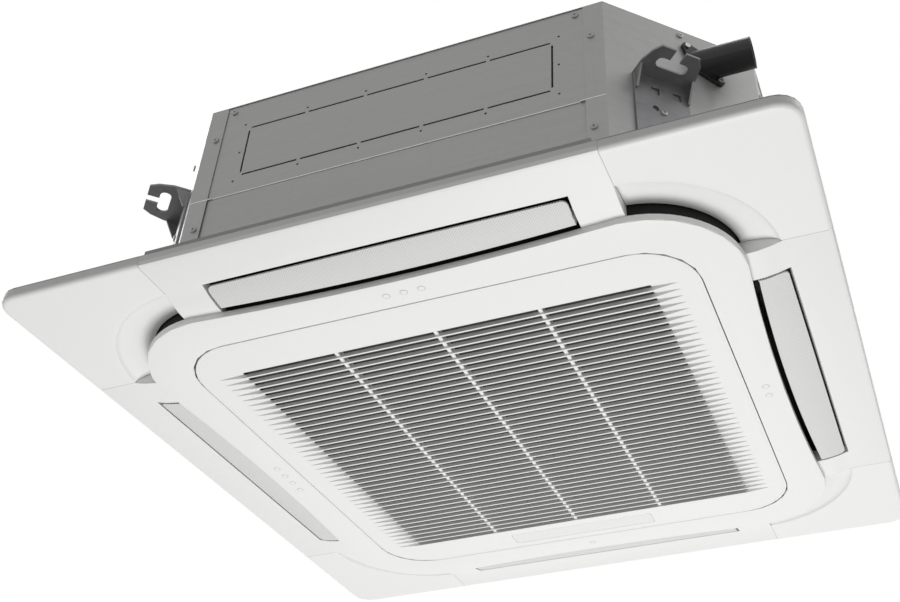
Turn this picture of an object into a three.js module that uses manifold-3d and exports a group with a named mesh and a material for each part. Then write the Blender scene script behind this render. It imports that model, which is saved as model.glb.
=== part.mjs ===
// Four-way ceiling cassette air conditioner, hung above a ceiling with its square panel below it.
// Millimetres, +Z up. The origin is the panel's centre on the ceiling plane, where the rim meets the ceiling.
// The near side faces -Y, the right side +X, the far side +Y and the left side -X.
import * as THREE from 'three';
import { ConvexGeometry } from 'three/addons/geometries/ConvexGeometry.js';
import { mergeVertices } from 'three/addons/utils/BufferGeometryUtils.js';
import Module from 'manifold-3d';

const wasm = await Module();
wasm.setup();

// ---- Clearances ------------------------------------------------------------------------------
const GAP = 0.3; // between neighbouring pieces that touch on the real unit
const SEAM = 0.4; // between a corner cover and the frame beside it
const RUN = 3; // round a vane in its opening

// ---- Panel -----------------------------------------------------------------------------------
const PANEL = 950; // side of the square panel
const PANEL_CORNER_R = 28;
const RIM = 14; // from the ceiling plane down to the flat underside
const EDGE_ROUND = 6;
const PANEL_WALL = 2.4;
const STRIP_W = 55; // from the panel's edge to a vane opening
const OUTLET_HALF = PANEL / 2 - STRIP_W; // from the centre to the outer edge of a vane opening
const BRIDGE_DROP = 8; // how far a bridge dips where it meets the inlet ring
const BRIDGE_TOP = -4;
const BRIDGE_FLOOR = 1.9;

// ---- Inlet ring ------------------------------------------------------------------------------
const RING_DROP = 16; // below the flat underside
const OUTLET_W = 42; // from the ring to the outer edge of a vane opening
const RING_HALF = OUTLET_HALF - OUTLET_W;
const COVER_START = RING_HALF - 106; // from the panel's centre line to the seam of a corner cover
const BRIDGE_W = 50;
const VANE_OPENING = 2 * (COVER_START - BRIDGE_W); // length of a vane opening
const RING_CORNER_R = 116;
const RING_BOW = 10; // the sides draw in by this much at their middle
const RING_FACE = 3;
const RING_SKIRT = 8;
const RING_SKIRT_WALL = 2.5;
const DUCT_WALL = 2.4;
const DUCT_INSET = 6.6; // from the ring's outline to the duct wall above it
const LEDGE_Z = -9;
const LEDGE_T = 2;
const SEAT_GAP = 0.3; // between the frame's walls and the drain pan
const DOT_R = 4;
const DOT_RAISE = 0.5;
const DOT_PITCH = 22;
const DOT_HALF = RING_HALF - 31; // from the centre to the row of dots

// ---- Corner cove -----------------------------------------------------------------------------
const COVE_OUTER_R = 157;
const COVE_INNER_R = 114;
const COVE_RISE = 10;
const COVE_WALL = 1.6;

// ---- Intake grille door ----------------------------------------------------------------------
const DOOR_GAP = 1.5;
const RING_W = 54.5; // from the ring's outline to the door
const DOOR = 2 * (RING_HALF - RING_W);
const LEDGE_HALF = DOOR / 2 - 15.5; // inner edge of the ledge over the door's rim
const CORNER_EASE = 3.2; // the opening's corners are that much tighter, so the door can swing out of them
const DOOR_CORNER_R = 72;
const DOOR_T = 5;
const SLOT_COUNT = 41;
const SLOT_PITCH = (DOOR - 116.05) / SLOT_COUNT;
const SLAT = 2.6;
const SLOT_LENGTH = DOOR - 117;
const SLOT_TIP = 33; // length of the ramp that runs out at each end of a slot
const RIB_COUNT = 3;
const RIB_PITCH = SLOT_LENGTH / (RIB_COUNT + 1);
const RIB_W = 5;
const RIB_H = 6;
const LIP_INSET = 3;
const LIP_W = 2.5;
const LIP_H = 9;
const HINGE_INSET = 11.5; // from the door's near edge to the hinge axis
const HINGE_X = DOOR / 2 - 123.5;
const HINGE_PIN_R = 1.2;
const HINGE_HOLE_R = 1.5;
const HINGE_EAR_W = 5;
const EAR_R = 2.2;
const EAR_CLEAR = 0.4;
const HINGE_LOBE_W = 6;
const WINDOW = [225, 30, 4]; // display window: length, width, corner radius
const WINDOW_Y = DOOR / 2 - 28.5;
const WINDOW_T = 1.8;

// ---- Air filter ------------------------------------------------------------------------------
const FILTER = DOOR - 61;
const FILTER_T = 4;
const FILTER_BORDER = 10;
const FILTER_NET = 0.8;

// ---- Vanes -----------------------------------------------------------------------------------
const VANE_T = 2.6;
const VANE_OUTER = OUTLET_HALF - 4; // from the centre to the vane's outer edge
const VANE_CORNER_R = 7;
const VANE_INNER_GAP = 3.7;
const VANE_AXIS_U = OUTLET_HALF - 34;
const VANE_AXIS_Z = -9;
const VANE_EAR = 4.5;
const VANE_PIN_R = 2;
const PIN_HOLE_R = 2.4;
const STEPPER_R = 9.5;
const STEPPER_L = 20;

// ---- Casing ----------------------------------------------------------------------------------
const BODY = PANEL - 110; // side of the octagonal casing
const BODY_H = 288;
const BODY_BOTTOM = -2;
const FACE_HALF = BODY / 2 - 150; // half the length of a long face, up to the chamfer
const SHEET = 1;
const TOP_PLATE = 1.2;
const LAP = 25; // corner sheet's flange over the side sheet
const BAND_TOP = 124; // the upper sheet stands proud of the band below this
const SCREW_R = 4.2;
const SCREW_H = 1.6;
const KNOCKOUT = [2 * FACE_HALF - 129, 82.5, 196]; // length, height and middle height of the knock-out
const KNOCKOUT_SLIT = 2.4;
const KNOCKOUT_BRIDGE = 5;
const KNOCKOUT_BAYS = 5;
const PILOT_R = 1.6;
const PILOT_OFFSET = 8.3;

// ---- Liner, drain pan, coil ------------------------------------------------------------------
const LINER_T = 18;
const LINER_HOLE_R = 108;
const PAN_TOP = 38;
const PAN_HOLE_HALF = BODY / 2 - 120;
const PAN_FLOOR = 10;
const TROUGH_IN = PAN_HOLE_HALF + 3;
const TROUGH_OUT = PAN_HOLE_HALF + 38;
const DUCT_IN = RING_HALF - 12;
const DUCT_OUT = OUTLET_HALF - 9;
const COIL_HALF = PAN_HOLE_HALF + 30.5;
const COIL_T = 26;
const COIL_CORNER_R = 130;
const COIL_END = COIL_HALF - 140.5; // where the loop stops short of the far right corner
const BEND_COUNT = 4;
const BEND_R = 10.5;
const BEND_TUBE_R = 3.6;
const END_PLATE_T = 1.5;

// ---- Fan -------------------------------------------------------------------------------------
const BELL_THROAT_R = 203;
const BELL_Z = 4;
const BELL_T = 2.4;
const BELL_LIP = 36;
const FAN_R = 233;
const FAN_TOP = 225.5;
const BLADE_COUNT = 7;
const BLADE_ROOT_R = 140;
const BLADE_T = 4;
const BLADE_SWEEP = 0.42; // radians from the blade's root to its tip
const SHAFT_R = 6;
const SHAFT_LOW = 170;
const MOTOR_R = 70;
const MOTOR_LOW = 202;
const MOTOR_HIGH = 256;
const FEET = 3;
const FOOT_R = 86;
const FOOT_Z = 242;
const BUSH_R = 8;

// ---- Hanger brackets -------------------------------------------------------------------------
const ROD_SPAN_X = BODY - 160; // hanging rod spacing along X
const ROD_SPAN_Y = BODY - 60; // and along Y
const HANGER_W = 72;
const HANGER_REACH = 50.5;
const HANGER_TOP = 177;
const HANGER_T = 3;
const ROD_SLOT_W = 14;
const ROD_SLOT_L = 40;
const THROAT_W = 12.5;
const PANEL_BOLT_OUT = 49; // from the chamfer to the panel bolt
const BOSS_R = 8;
const BOLT_R = 2.5;
const BOLT_HOLE_R = 3;
const BOLT_HEAD_R = 4.6;
const BOLT_HEAD_H = 3.6;

// ---- Drain -----------------------------------------------------------------------------------
const DRAIN_Z = 234;
const DRAIN_ALONG = 27.5; // along the near right chamfer from its middle
const DRAIN_R = 19.5;
const DRAIN_BORE_R = 16;
const DRAIN_END_X = BODY / 2 + 7.5;
const DRAIN_LUG = 30; // from the spigot to each lug screw
const SPIGOT_R = 11;
const PUMP_R = 21;
const PUMP_H = 105;
const FLOAT_R = 9;

// ---- Refrigerant pipes -----------------------------------------------------------------------
const GAS_R = 8;
const LIQUID_R = 4.8;
const PIPE_REACH = 60; // how far the pipes stand out of the far right chamfer
const PIPE_ALONG = -40;
const GAS_Z = 118;
const LIQUID_Z = 78;

// ---- Control box -----------------------------------------------------------------------------
const CONTROL = [300, 60, 40]; // length, width, height
const CONTROL_WALL = 1.5;
const CONTROL_Z = -4;
const CONTROL_Y = 36 - PAN_HOLE_HALF;

// ---- Derived places --------------------------------------------------------------------------
const HALF = PANEL / 2;
const UNDER = -RIM; // flat underside of the panel
const RING_Z = UNDER - RING_DROP; // face of the ring and of the door
const COVE_CENTRE = COVER_START - 11;
const BAR_HALF = VANE_OPENING / 2;
const BODY_HALF = BODY / 2;
const BODY_TOP = BODY_BOTTOM + BODY_H;
const CHAMFER = (BODY_HALF + FACE_HALF) / Math.SQRT2; // from the axis to a chamfer's face
const HANGER_ALONG = (ROD_SPAN_Y - ROD_SPAN_X) / 2 / Math.SQRT2;
const ROD_OUT = (ROD_SPAN_Y + ROD_SPAN_X) / 2 / Math.SQRT2 - CHAMFER;
const SIDE_OUTER = BODY_HALF - SHEET - GAP;
const LINER_OUTER = SIDE_OUTER - 2 * SHEET - GAP;
const DOOR_TOP = RING_Z + DOOR_T;
const RAMP_DEPTH = DOOR_T;
const HINGE_Y = -(DOOR / 2 - HINGE_INSET);
const HINGE_Z = DOOR_TOP - 1.5;
const FILTER_Z = DOOR_TOP + RIB_H + GAP;
const SIDE_TOP = BODY_TOP - TOP_PLATE - GAP;
const COIL_INNER = COIL_HALF - COIL_T;
const COIL_INNER_R = COIL_CORNER_R - COIL_T;
const PAN_HOLE_R = COIL_INNER_R - (COIL_INNER - PAN_HOLE_HALF);
const TROUGH_IN_R = PAN_HOLE_R + TROUGH_IN - PAN_HOLE_HALF;
const TROUGH_OUT_R = COIL_CORNER_R + TROUGH_OUT - COIL_HALF;
const LID_LOW = SIDE_TOP - GAP - LINER_T;
const COIL_BOTTOM = PAN_FLOOR + GAP;
const COIL_TOP = LID_LOW - GAP;
const BEND_PITCH = (COIL_TOP - COIL_BOTTOM) / BEND_COUNT;
const END_PLATE_Y = COIL_END + GAP;

// ---- Materials -------------------------------------------------------------------------------
function finish(color, roughness, metalness = 0) {
  return () => new THREE.MeshStandardMaterial({ color, roughness, metalness });
}
const WHITE = finish(0xededed, 0.45);
const VANE_GREY = finish(0xd6d6d6, 0.5);
const SHEET_STEEL = finish(0x9a9a9a, 0.45, 0.7);
const BRACKET_STEEL = finish(0x6c6c6c, 0.5, 0.8);
const BLACK = finish(0x1e1e1e, 0.55);
const FOAM_WHITE = finish(0xe2e2de, 0.9);
const FOAM_BLACK = finish(0x2a2a2a, 0.9);
const FINS = finish(0xb9bcc0, 0.4, 0.9);
const COPPER = finish(0xb4683a, 0.35, 0.95);
const BRASS = finish(0xb8964c, 0.35, 0.95);
const FAN_GREY = finish(0x77797c, 0.55);
const MOTOR_STEEL = finish(0x8c8f92, 0.4, 0.8);
const SCREW_STEEL = finish(0xc4c4c4, 0.3, 0.9);
const BOARD_GREEN = finish(0x2e6b46, 0.6);
const NET_GREY = finish(0x4c4f52, 0.8);
const SMOKE = finish(0xe6e6e6, 0.3);

// ---- Solids ----------------------------------------------------------------------------------
function solid(geometry) {
  const bare = geometry.index ? geometry.toNonIndexed() : geometry.clone();
  bare.deleteAttribute('normal');
  bare.deleteAttribute('uv');
  const merged = mergeVertices(bare, 1e-4);
  const vertProperties = new Float32Array(merged.attributes.position.array);
  const triVerts = new Uint32Array(merged.index.array);
  return new wasm.Manifold(new wasm.Mesh({ numProp: 3, vertProperties, triVerts }));
}

function geometryOf(shape) {
  const mesh = shape.getMesh();
  const geometry = new THREE.BufferGeometry();
  geometry.setAttribute('position', new THREE.BufferAttribute(new Float32Array(mesh.vertProperties), 3));
  geometry.setIndex(new THREE.BufferAttribute(new Uint32Array(mesh.triVerts), 1));
  geometry.computeVertexNormals();
  return geometry;
}

const join = (...parts) => parts.reduce((whole, part) => whole.add(part));
const cut = (whole, ...tools) => tools.reduce((left, tool) => left.subtract(tool), whole);

// A block between two opposite corners.
function block(x0, x1, y0, y1, z0, z1) {
  const geometry = new THREE.BoxGeometry(x1 - x0, y1 - y0, z1 - z0);
  return solid(geometry.translate((x0 + x1) / 2, (y0 + y1) / 2, (z0 + z1) / 2));
}

// An outline in X and Y, raised from z0 to z1.
function prism(points, z0, z1) {
  const shape = new THREE.Shape(points.map(([x, y]) => new THREE.Vector2(x, y)));
  const geometry = new THREE.ExtrudeGeometry(shape, { depth: z1 - z0, bevelEnabled: false });
  return solid(geometry.translate(0, 0, z0));
}

// An outline in X and Z, drawn out along Y from y0 to y1.
function sideways(points, y0, y1) {
  const flat = prism(points.map(([x, z]) => [x, -z]), y0, y1);
  return flat.rotate([-90, 0, 0]);
}

// A round bar from z0 to z1, or along X from x0 to x1.
function rod(r, z0, z1, steps = 16) {
  const geometry = new THREE.CylinderGeometry(r, r, z1 - z0, steps);
  return solid(geometry.rotateX(Math.PI / 2).translate(0, 0, (z0 + z1) / 2));
}
const rodX = (r, x0, x1, steps = 16) => rod(r, x0, x1, steps).rotate([0, 90, 0]);

// A closed profile of [radius, z] turned about Z.
function turned(profile, steps = 28) {
  const points = profile.map(([r, z]) => new THREE.Vector2(r, z));
  if (THREE.ShapeUtils.area(points) < 0) points.reverse();
  const closed = profile[0][0] === 0 ? points : [...points, points[0]];
  const geometry = new THREE.LatheGeometry(closed, steps);
  return solid(geometry.rotateX(Math.PI / 2));
}

// A round tube along a smooth path through the given points.
function tube(points, r, steps, sides = 10) {
  const path = new THREE.CatmullRomCurve3(points.map((p) => new THREE.Vector3(...p)), false, 'centripetal');
  const circle = new THREE.Shape(
    Array.from({ length: sides }, (_, i) => {
      const a = (2 * Math.PI * i) / sides;
      return new THREE.Vector2(r * Math.cos(a), r * Math.sin(a));
    }),
  );
  return solid(new THREE.ExtrudeGeometry(circle, { steps, bevelEnabled: false, extrudePath: path }));
}

// The smallest convex solid round the given points.
function hull(points) {
  return solid(new ConvexGeometry(points.map((p) => new THREE.Vector3(...p))));
}

function arc(cx, cy, r, from, to, steps) {
  return Array.from({ length: steps + 1 }, (_, i) => {
    const a = from + ((to - from) * i) / steps;
    return [cx + r * Math.cos(a), cy + r * Math.sin(a)];
  });
}

// Turns an outline of one quarter, drawn round the +X +Y corner, into the full loop.
function fourQuarters(quarter) {
  const turns = [[1, 0], [0, 1], [-1, 0], [0, -1]];
  return turns.flatMap(([c, s]) => quarter.map(([x, y]) => [c * x - s * y, s * x + c * y]));
}

function roundedSquare(half, r, steps = 5) {
  return fourQuarters(arc(half - r, half - r, r, 0, Math.PI / 2, steps));
}

function roundedBar(length, width, r, steps = 3) {
  const x = length / 2 - r;
  const y = width / 2 - r;
  const turn = Math.PI / 2;
  return [
    ...arc(x, y, r, 0, turn, steps),
    ...arc(-x, y, r, turn, 2 * turn, steps),
    ...arc(-x, -y, r, 2 * turn, 3 * turn, steps),
    ...arc(x, -y, r, 3 * turn, 4 * turn, steps),
  ];
}

// The ring's outline, moved outwards by some distance: round corners and sides that bow inwards.
function ringOutline(offset, bowSteps = 6, cornerSteps = 6) {
  const reach = RING_HALF - RING_CORNER_R;
  const corner = arc(reach, reach, RING_CORNER_R + offset, 0, Math.PI / 2, cornerSteps);
  const side = Array.from({ length: bowSteps - 1 }, (_, i) => {
    const along = reach * (1 - (2 * (i + 1)) / bowSteps);
    return [along, RING_HALF + offset - RING_BOW * (1 - (along / reach) ** 2)];
  });
  return fourQuarters([...corner, ...side]);
}

// The casing's octagon, moved inwards by some distance.
function octagon(inset) {
  const half = BODY_HALF - inset;
  const face = FACE_HALF - inset * Math.tan(Math.PI / 8);
  return fourQuarters([[half, face], [face, half]]);
}

function band(outer, inner, z0, z1) {
  return cut(prism(outer, z0, z1), prism(inner, z0 - 1, z1 + 1));
}

// How far the bridges and the vanes dip below the flat underside, at a distance u from the centre.
function bridgeDip(u) {
  const inner = RING_HALF - 4;
  const t = Math.min(1, Math.max(0, (u - inner) / (OUTLET_HALF - inner)));
  return BRIDGE_DROP * (1 - t * t);
}

// ---- Assembly --------------------------------------------------------------------------------
const cassette = new THREE.Group();
const QUARTER = Math.PI / 2;

function place(name, shape, material, parent = cassette) {
  const mesh = new THREE.Mesh(shape.isBufferGeometry ? shape : geometryOf(shape), material());
  mesh.name = name;
  parent.add(mesh);
  return mesh;
}

function turnedGroup(angle) {
  const group = new THREE.Group();
  group.rotation.z = angle;
  cassette.add(group);
  return group;
}

// One group for each side, drawn as the right side, and one for each corner, drawn as the far right.
const SIDES = ['right', 'far', 'left', 'near'];
const CORNERS = ['far_right', 'far_left', 'near_left', 'near_right'];
const sideGroups = Object.fromEntries(SIDES.map((side, i) => [side, turnedGroup(i * QUARTER)]));
const cornerGroups = Object.fromEntries(CORNERS.map((corner, i) => [corner, turnedGroup(i * QUARTER)]));

// In a chamfer's own frame X points out of the chamfer, from its face, and Y runs along it.
const chamferFrame = (shape) => shape.translate([CHAMFER, 0, 0]).rotate([0, 0, 45]);
// The brackets lie nearer the near and far sides, so they sit off the chamfer's middle.
const hangerSign = (corner) => (corner === 'far_right' || corner === 'near_left' ? 1 : -1);

// ---- Panel shell -----------------------------------------------------------------------------
// A square tray with a rounded lower edge: the flat underside with its rim up to the ceiling plane.
function tray(half, r, round, z0) {
  const inner = roundedSquare(half - round, r - round);
  const shape = new THREE.Shape(inner.map(([x, y]) => new THREE.Vector2(x, y)));
  const depth = 2 * RIM;
  const geometry = new THREE.ExtrudeGeometry(shape, {
    depth,
    bevelThickness: round,
    bevelSize: round,
    bevelSegments: 2,
  });
  return solid(geometry.translate(0, 0, z0 + round));
}

function panelShell() {
  const outer = tray(HALF, PANEL_CORNER_R, EDGE_ROUND, UNDER);
  const innerRound = EDGE_ROUND - PANEL_WALL;
  const inner = tray(HALF - PANEL_WALL, PANEL_CORNER_R - PANEL_WALL, innerRound, UNDER + PANEL_WALL);
  const above = block(-PANEL, PANEL, -PANEL, PANEL, 0, PANEL);
  return cut(outer, inner, above);
}

const shell = panelShell();
const HOOK_NEAR = COVER_START + 25;
const HOOK_FAR = HALF - 28;
const hookPlaces = [[HOOK_NEAR, HOOK_FAR], [HOOK_FAR, HOOK_NEAR]];
const HOOK = [12, 3];
const HOOK_TOP = -5;
const WEB_LOW = UNDER + PANEL_WALL + SEAM;
const WEB_T = 3;
const WEB_HIGH = WEB_LOW + WEB_T;
const WEB_INSET = 6; // from the panel's edge to the web
const COVE_CLEAR = 6;
const TAB = [COVER_START + 13, COVER_START + 44]; // where the upstands stand beside each corner
const TAB_T = 4;
const TAB_TOP = 5;

function hookBlock([x, y], grow, z0, z1) {
  const [long, thick] = x < y ? HOOK : [HOOK[1], HOOK[0]];
  return block(x - long / 2 - grow, x + long / 2 + grow, y - thick / 2 - grow, y + thick / 2 + grow, z0, z1);
}

// ---- Panel frame -----------------------------------------------------------------------------
// A bridge from the ring to the edge strip, drawn for the right side, from along0 to along1.
function bridge(along0, along1) {
  const steps = 4;
  const inner = RING_HALF - RING_BOW - DUCT_INSET - DUCT_WALL;
  const low = Array.from({ length: steps + 1 }, (_, i) => {
    const u = inner + ((OUTLET_HALF - inner) * i) / steps;
    return [u, UNDER - bridgeDip(u)];
  });
  const outer = OUTLET_HALF + PANEL_WALL;
  const profile = [...low, [outer, UNDER], [outer, BRIDGE_TOP], [inner, BRIDGE_TOP]];
  const whole = sideways(profile, along0, along1);
  const near = VANE_AXIS_U - STEPPER_R - 1;
  const far = VANE_AXIS_U + 2 * STEPPER_R;
  const floor = Array.from({ length: 4 }, (_, i) => {
    const u = near + ((far - near) * i) / 3;
    return [u, UNDER - bridgeDip(u) + BRIDGE_FLOOR];
  });
  const room = [...floor, [far, BRIDGE_TOP + 1], [near, BRIDGE_TOP + 1]];
  const hollow = sideways(room, along0 + PANEL_WALL, along1 - PANEL_WALL);
  const inside = prism(ringOutline(-DUCT_INSET - DUCT_WALL / 2), RING_Z, 1);
  return cut(whole, hollow, inside);
}

function panelFrame() {
  const face = prism(ringOutline(0), RING_Z, RING_Z + RING_FACE);
  const skirt = band(ringOutline(0), ringOutline(-RING_SKIRT_WALL), RING_Z, RING_Z + RING_SKIRT);
  const ductTop = BODY_BOTTOM - SEAT_GAP;
  const duct = band(ringOutline(-DUCT_INSET), ringOutline(-DUCT_INSET - DUCT_WALL), RING_Z + 1, ductTop);
  const doorHole = DOOR / 2 + DOOR_GAP;
  const wallIn = doorHole + 2.5;
  const wallR = DOOR_CORNER_R + DOOR_GAP + 2.5;
  const wallOutline = roundedSquare(wallIn + PANEL_WALL, wallR + PANEL_WALL);
  const innerWall = band(wallOutline, roundedSquare(wallIn, wallR), RING_Z + 1, ductTop);
  const ledge = band(wallOutline, roundedSquare(LEDGE_HALF, wallR - 18), LEDGE_Z, LEDGE_Z + LEDGE_T);
  const openingR = DOOR_CORNER_R + DOOR_GAP - CORNER_EASE;
  const opening = prism(roundedSquare(doorHole, openingR), RING_Z - 1, RING_Z + RING_FACE + 1);
  let frame = join(cut(join(face, skirt, duct), opening), innerWall, ledge);

  const barOuter = COVER_START - SEAM / 2;
  const bars = [bridge(BAR_HALF, barOuter), bridge(-barOuter, -BAR_HALF)];
  const strip = shell.intersect(block(OUTLET_HALF, HALF + 1, -barOuter, barOuter, UNDER - 1, 1));
  const lipWall = block(OUTLET_HALF, OUTLET_HALF + PANEL_WALL, -barOuter, barOuter, UNDER, BRIDGE_TOP);
  const pinHoles = [-1, 1].map((end) => {
    const hole = rod(PIN_HOLE_R, -8, 8, 8).rotate([90, 0, 0]);
    return hole.translate([VANE_AXIS_U, end * (BAR_HALF + 1), VANE_AXIS_Z]);
  });
  const side = cut(join(strip, lipWall, ...bars), ...pinHoles);

  // Behind each corner cover a web joins the strips and takes the panel bolt.
  const webEnd = COVER_START - 17;
  const webIn = COVE_CENTRE + COVE_OUTER_R + COVE_CLEAR;
  const webOut = HALF - WEB_INSET;
  const webR = PANEL_CORNER_R - WEB_INSET;
  const sweep = arc(COVE_CENTRE, COVE_CENTRE, COVE_OUTER_R + COVE_CLEAR, 0, QUARTER, 8);
  const webOutline = [
    [webIn, webEnd],
    [webOut, webEnd],
    ...arc(webOut - webR, webOut - webR, webR, 0, Math.PI / 2, 3),
    [webEnd, webOut],
    [webEnd, webIn],
    ...sweep.reverse(),
  ];
  const web = prism(webOutline, WEB_LOW, WEB_HIGH);
  const shoulders = [
    block(webEnd, barOuter, webIn, webOut, UNDER + 1, WEB_HIGH),
    block(webIn, webOut, webEnd, barOuter, UNDER + 1, WEB_HIGH),
  ];
  // A short upstand beside each seam steadies the ceiling seal.
  const tabs = [
    block(TAB[0], TAB[1], webOut - TAB_T, webOut, WEB_LOW, TAB_TOP),
    block(webOut - TAB_T, webOut, TAB[0], TAB[1], WEB_LOW, TAB_TOP),
  ];
  const hookHoles = hookPlaces.map((spot) => hookBlock(spot, 0.8, WEB_LOW - 1, WEB_HIGH + 1));
  const corner = cut(join(web, ...shoulders, ...tabs), ...hookHoles);

  for (let i = 0; i < 4; i += 1) {
    frame = join(frame, side.rotate([0, 0, 90 * i]), corner.rotate([0, 0, 90 * i]));
    const spot = panelBoltSpot(CORNERS[i]);
    const boss = rod(BOSS_R, WEB_LOW, 0, 12).translate(spot);
    const bore = rod(BOLT_HOLE_R, WEB_LOW - 1, 1, 8).translate(spot);
    const counterbore = rod(BOLT_HEAD_R + 0.6, WEB_LOW - 1, WEB_LOW + BOLT_HEAD_H + GAP, 8).translate(spot);
    frame = cut(join(frame, boss), bore, counterbore);
  }

  // Two ears hang from the ledge and hold the door's hinge pins.
  for (const x of [-HINGE_X, HINGE_X]) {
    const halfW = HINGE_EAR_W / 2;
    const arm = block(x - halfW, x + halfW, HINGE_Y - EAR_R, HINGE_Y + EAR_R, HINGE_Z, LEDGE_Z + 1);
    const ear = join(arm, rodX(EAR_R, x - halfW, x + halfW, 12).translate([0, HINGE_Y, HINGE_Z]));
    const carrier = block(x - halfW - 6, x + halfW + 6, -(wallIn + 1), HINGE_Y + 3, LEDGE_Z, LEDGE_Z + LEDGE_T);
    const hole = rodX(HINGE_PIN_R + 0.1, x - 10, x + 10, 10).translate([0, HINGE_Y, HINGE_Z]);
    frame = cut(join(frame, ear, carrier), hole);
  }

  // Raised dots number the four vanes.
  SIDES.forEach((side_, i) => {
    const count = { far: 1, right: 2, near: 3, left: 4 }[side_];
    for (let k = 0; k < count; k += 1) {
      const along = (k - (count - 1) / 2) * DOT_PITCH;
      const dot = rod(DOT_R, RING_Z - DOT_RAISE, RING_Z + 1, 8).translate([DOT_HALF, along, 0]);
      frame = join(frame, dot.rotate([0, 0, 90 * i]));
    }
  });
  return frame;
}

// Where the panel bolt stands below a hanger bracket, in the panel's own frame.
function panelBoltSpot(corner) {
  const out = CHAMFER + PANEL_BOLT_OUT;
  const along = hangerSign(corner) * HANGER_ALONG;
  const angle = Math.PI / 4 + CORNERS.indexOf(corner) * QUARTER;
  const x = out * Math.cos(angle) - along * Math.sin(angle);
  const y = out * Math.sin(angle) + along * Math.cos(angle);
  return [x, y, 0];
}

// ---- Corner cover ----------------------------------------------------------------------------
function cornerCover() {
  const start = COVER_START + SEAM / 2;
  const quadrant = block(start, HALF + 1, start, HALF + 1, UNDER - 1, 1);
  const steps = 4;
  const span = COVE_OUTER_R - COVE_INNER_R;
  const curve = Array.from({ length: steps + 1 }, (_, i) => {
    const a = (QUARTER * i) / steps;
    return [COVE_OUTER_R - span * (1 - Math.cos(a)), UNDER + COVE_RISE * Math.sin(a)];
  });
  // The space below the cove is cut from the plate and from a ring that stands on it.
  const below = [[0, UNDER - 1], [COVE_OUTER_R, UNDER - 1], ...curve];
  const space = turned([...below, [0, UNDER + COVE_RISE]], 40);
  const upper = curve.slice(1).map(([r, z]) => [r, z + COVE_WALL]);
  const foot = COVE_OUTER_R + 1.5;
  const ringProfile = [[COVE_INNER_R, UNDER + 1], [foot, UNDER + 1], [foot, UNDER + COVE_WALL], ...upper];
  const ring = turned(ringProfile, 40).rotate([0, 0, 360 / 80]);
  const [cove, cavity] = [ring, space].map((shape) => shape.translate([COVE_CENTRE, COVE_CENTRE, 0]));
  const hooks = hookPlaces.map((spot) => hookBlock(spot, 0, UNDER + 1, HOOK_TOP));
  return join(cut(join(shell, cove).intersect(quadrant), cavity), ...hooks);
}

// ---- Ceiling seal ----------------------------------------------------------------------------
const SEAL_H = 6;
const SEAL_LOW = 1.2; // its height where it passes behind the corner covers
function ceilingSeal() {
  const outer = HALF - 0.5;
  const inner = HALF - 4.5;
  const rOut = PANEL_CORNER_R - 0.5;
  const low = band(roundedSquare(outer, rOut), roundedSquare(inner, rOut - 4), GAP, SEAL_LOW);
  const high = band(roundedSquare(outer, rOut), roundedSquare(inner, rOut - 4), GAP, SEAL_H);
  const end = COVER_START - 6;
  const along = [
    block(-end, end, -HALF, HALF, 0, SEAL_H + 1),
    block(-HALF, HALF, -end, end, 0, SEAL_H + 1),
  ];
  return join(low, high.intersect(join(...along)));
}

// ---- Vane ------------------------------------------------------------------------------------
function vane() {
  const end = BAR_HALF - RUN;
  const steps = 4;
  const inner = RING_HALF - RING_BOW - 1;
  const low = Array.from({ length: steps + 1 }, (_, i) => {
    const u = inner + ((VANE_OUTER - inner) * i) / steps;
    return [u, UNDER - bridgeDip(u)];
  });
  const high = low.map(([u, z]) => [u, z + VANE_T]).reverse();
  const sheet = sideways([...low, ...high], -end, end);
  const innerEdge = prism(ringOutline(VANE_INNER_GAP, 16), -RIM * 3, 0);
  const r = VANE_CORNER_R;
  const far = VANE_OUTER - r;
  const outline = [
    [inner - 1, -end],
    ...arc(far, -end + r, r, -QUARTER, 0, 4),
    ...arc(far, end - r, r, 0, QUARTER, 4),
    [inner - 1, end],
  ];
  const blade = cut(sheet, innerEdge).intersect(prism(outline, -RIM * 3, 0));
  const earLow = UNDER - bridgeDip(VANE_AXIS_U) + 1;
  const ears = [-1, 1].map((side) => {
    const from = side > 0 ? end - VANE_EAR : -end;
    const to = side > 0 ? end : -end + VANE_EAR;
    const ear = block(VANE_AXIS_U - 5, VANE_AXIS_U + 5, from, to, earLow, VANE_AXIS_Z + 5);
    const pin = rod(VANE_PIN_R, end - 2, BAR_HALF + 7, 10).rotate([-90, 0, 0]);
    const turnedPin = side > 0 ? pin : pin.rotate([180, 0, 0]);
    return join(ear, turnedPin.translate([VANE_AXIS_U, 0, VANE_AXIS_Z]));
  });
  return join(blade, ...ears);
}

// The geared stepper motor that turns a vane lies in the bridge at one end of it.
function vaneMotor() {
  const start = BAR_HALF + PANEL_WALL + GAP;
  const can = rod(STEPPER_R, start, start + STEPPER_L, 12).rotate([-90, 0, 0]);
  const bore = rod(PIN_HOLE_R, start - 1, start + 6, 10).rotate([-90, 0, 0]);
  return cut(can, bore).translate([VANE_AXIS_U, 0, VANE_AXIS_Z]);
}

// ---- Grille door -----------------------------------------------------------------------------
// One slot of the grille: a through slot with a ramp at each end that runs out to a point.
function slotTool(y) {
  const w = SLOT_PITCH - SLAT;
  const x = SLOT_LENGTH / 2;
  const through = block(-x, x, y - w / 2, y + w / 2, RING_Z - 1, DOOR_TOP + 1);
  const ramps = [-1, 1].map((side) => {
    const root = side * x;
    const tip = side * (x + SLOT_TIP);
    const corners = [-w / 2, w / 2].flatMap((b) => [[root, y + b, RING_Z - 1], [root, y + b, DOOR_TOP]]);
    return hull([...corners, [tip, y, RING_Z - 1], [tip, y, RING_Z]]);
  });
  return join(through, ...ramps);
}

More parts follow.
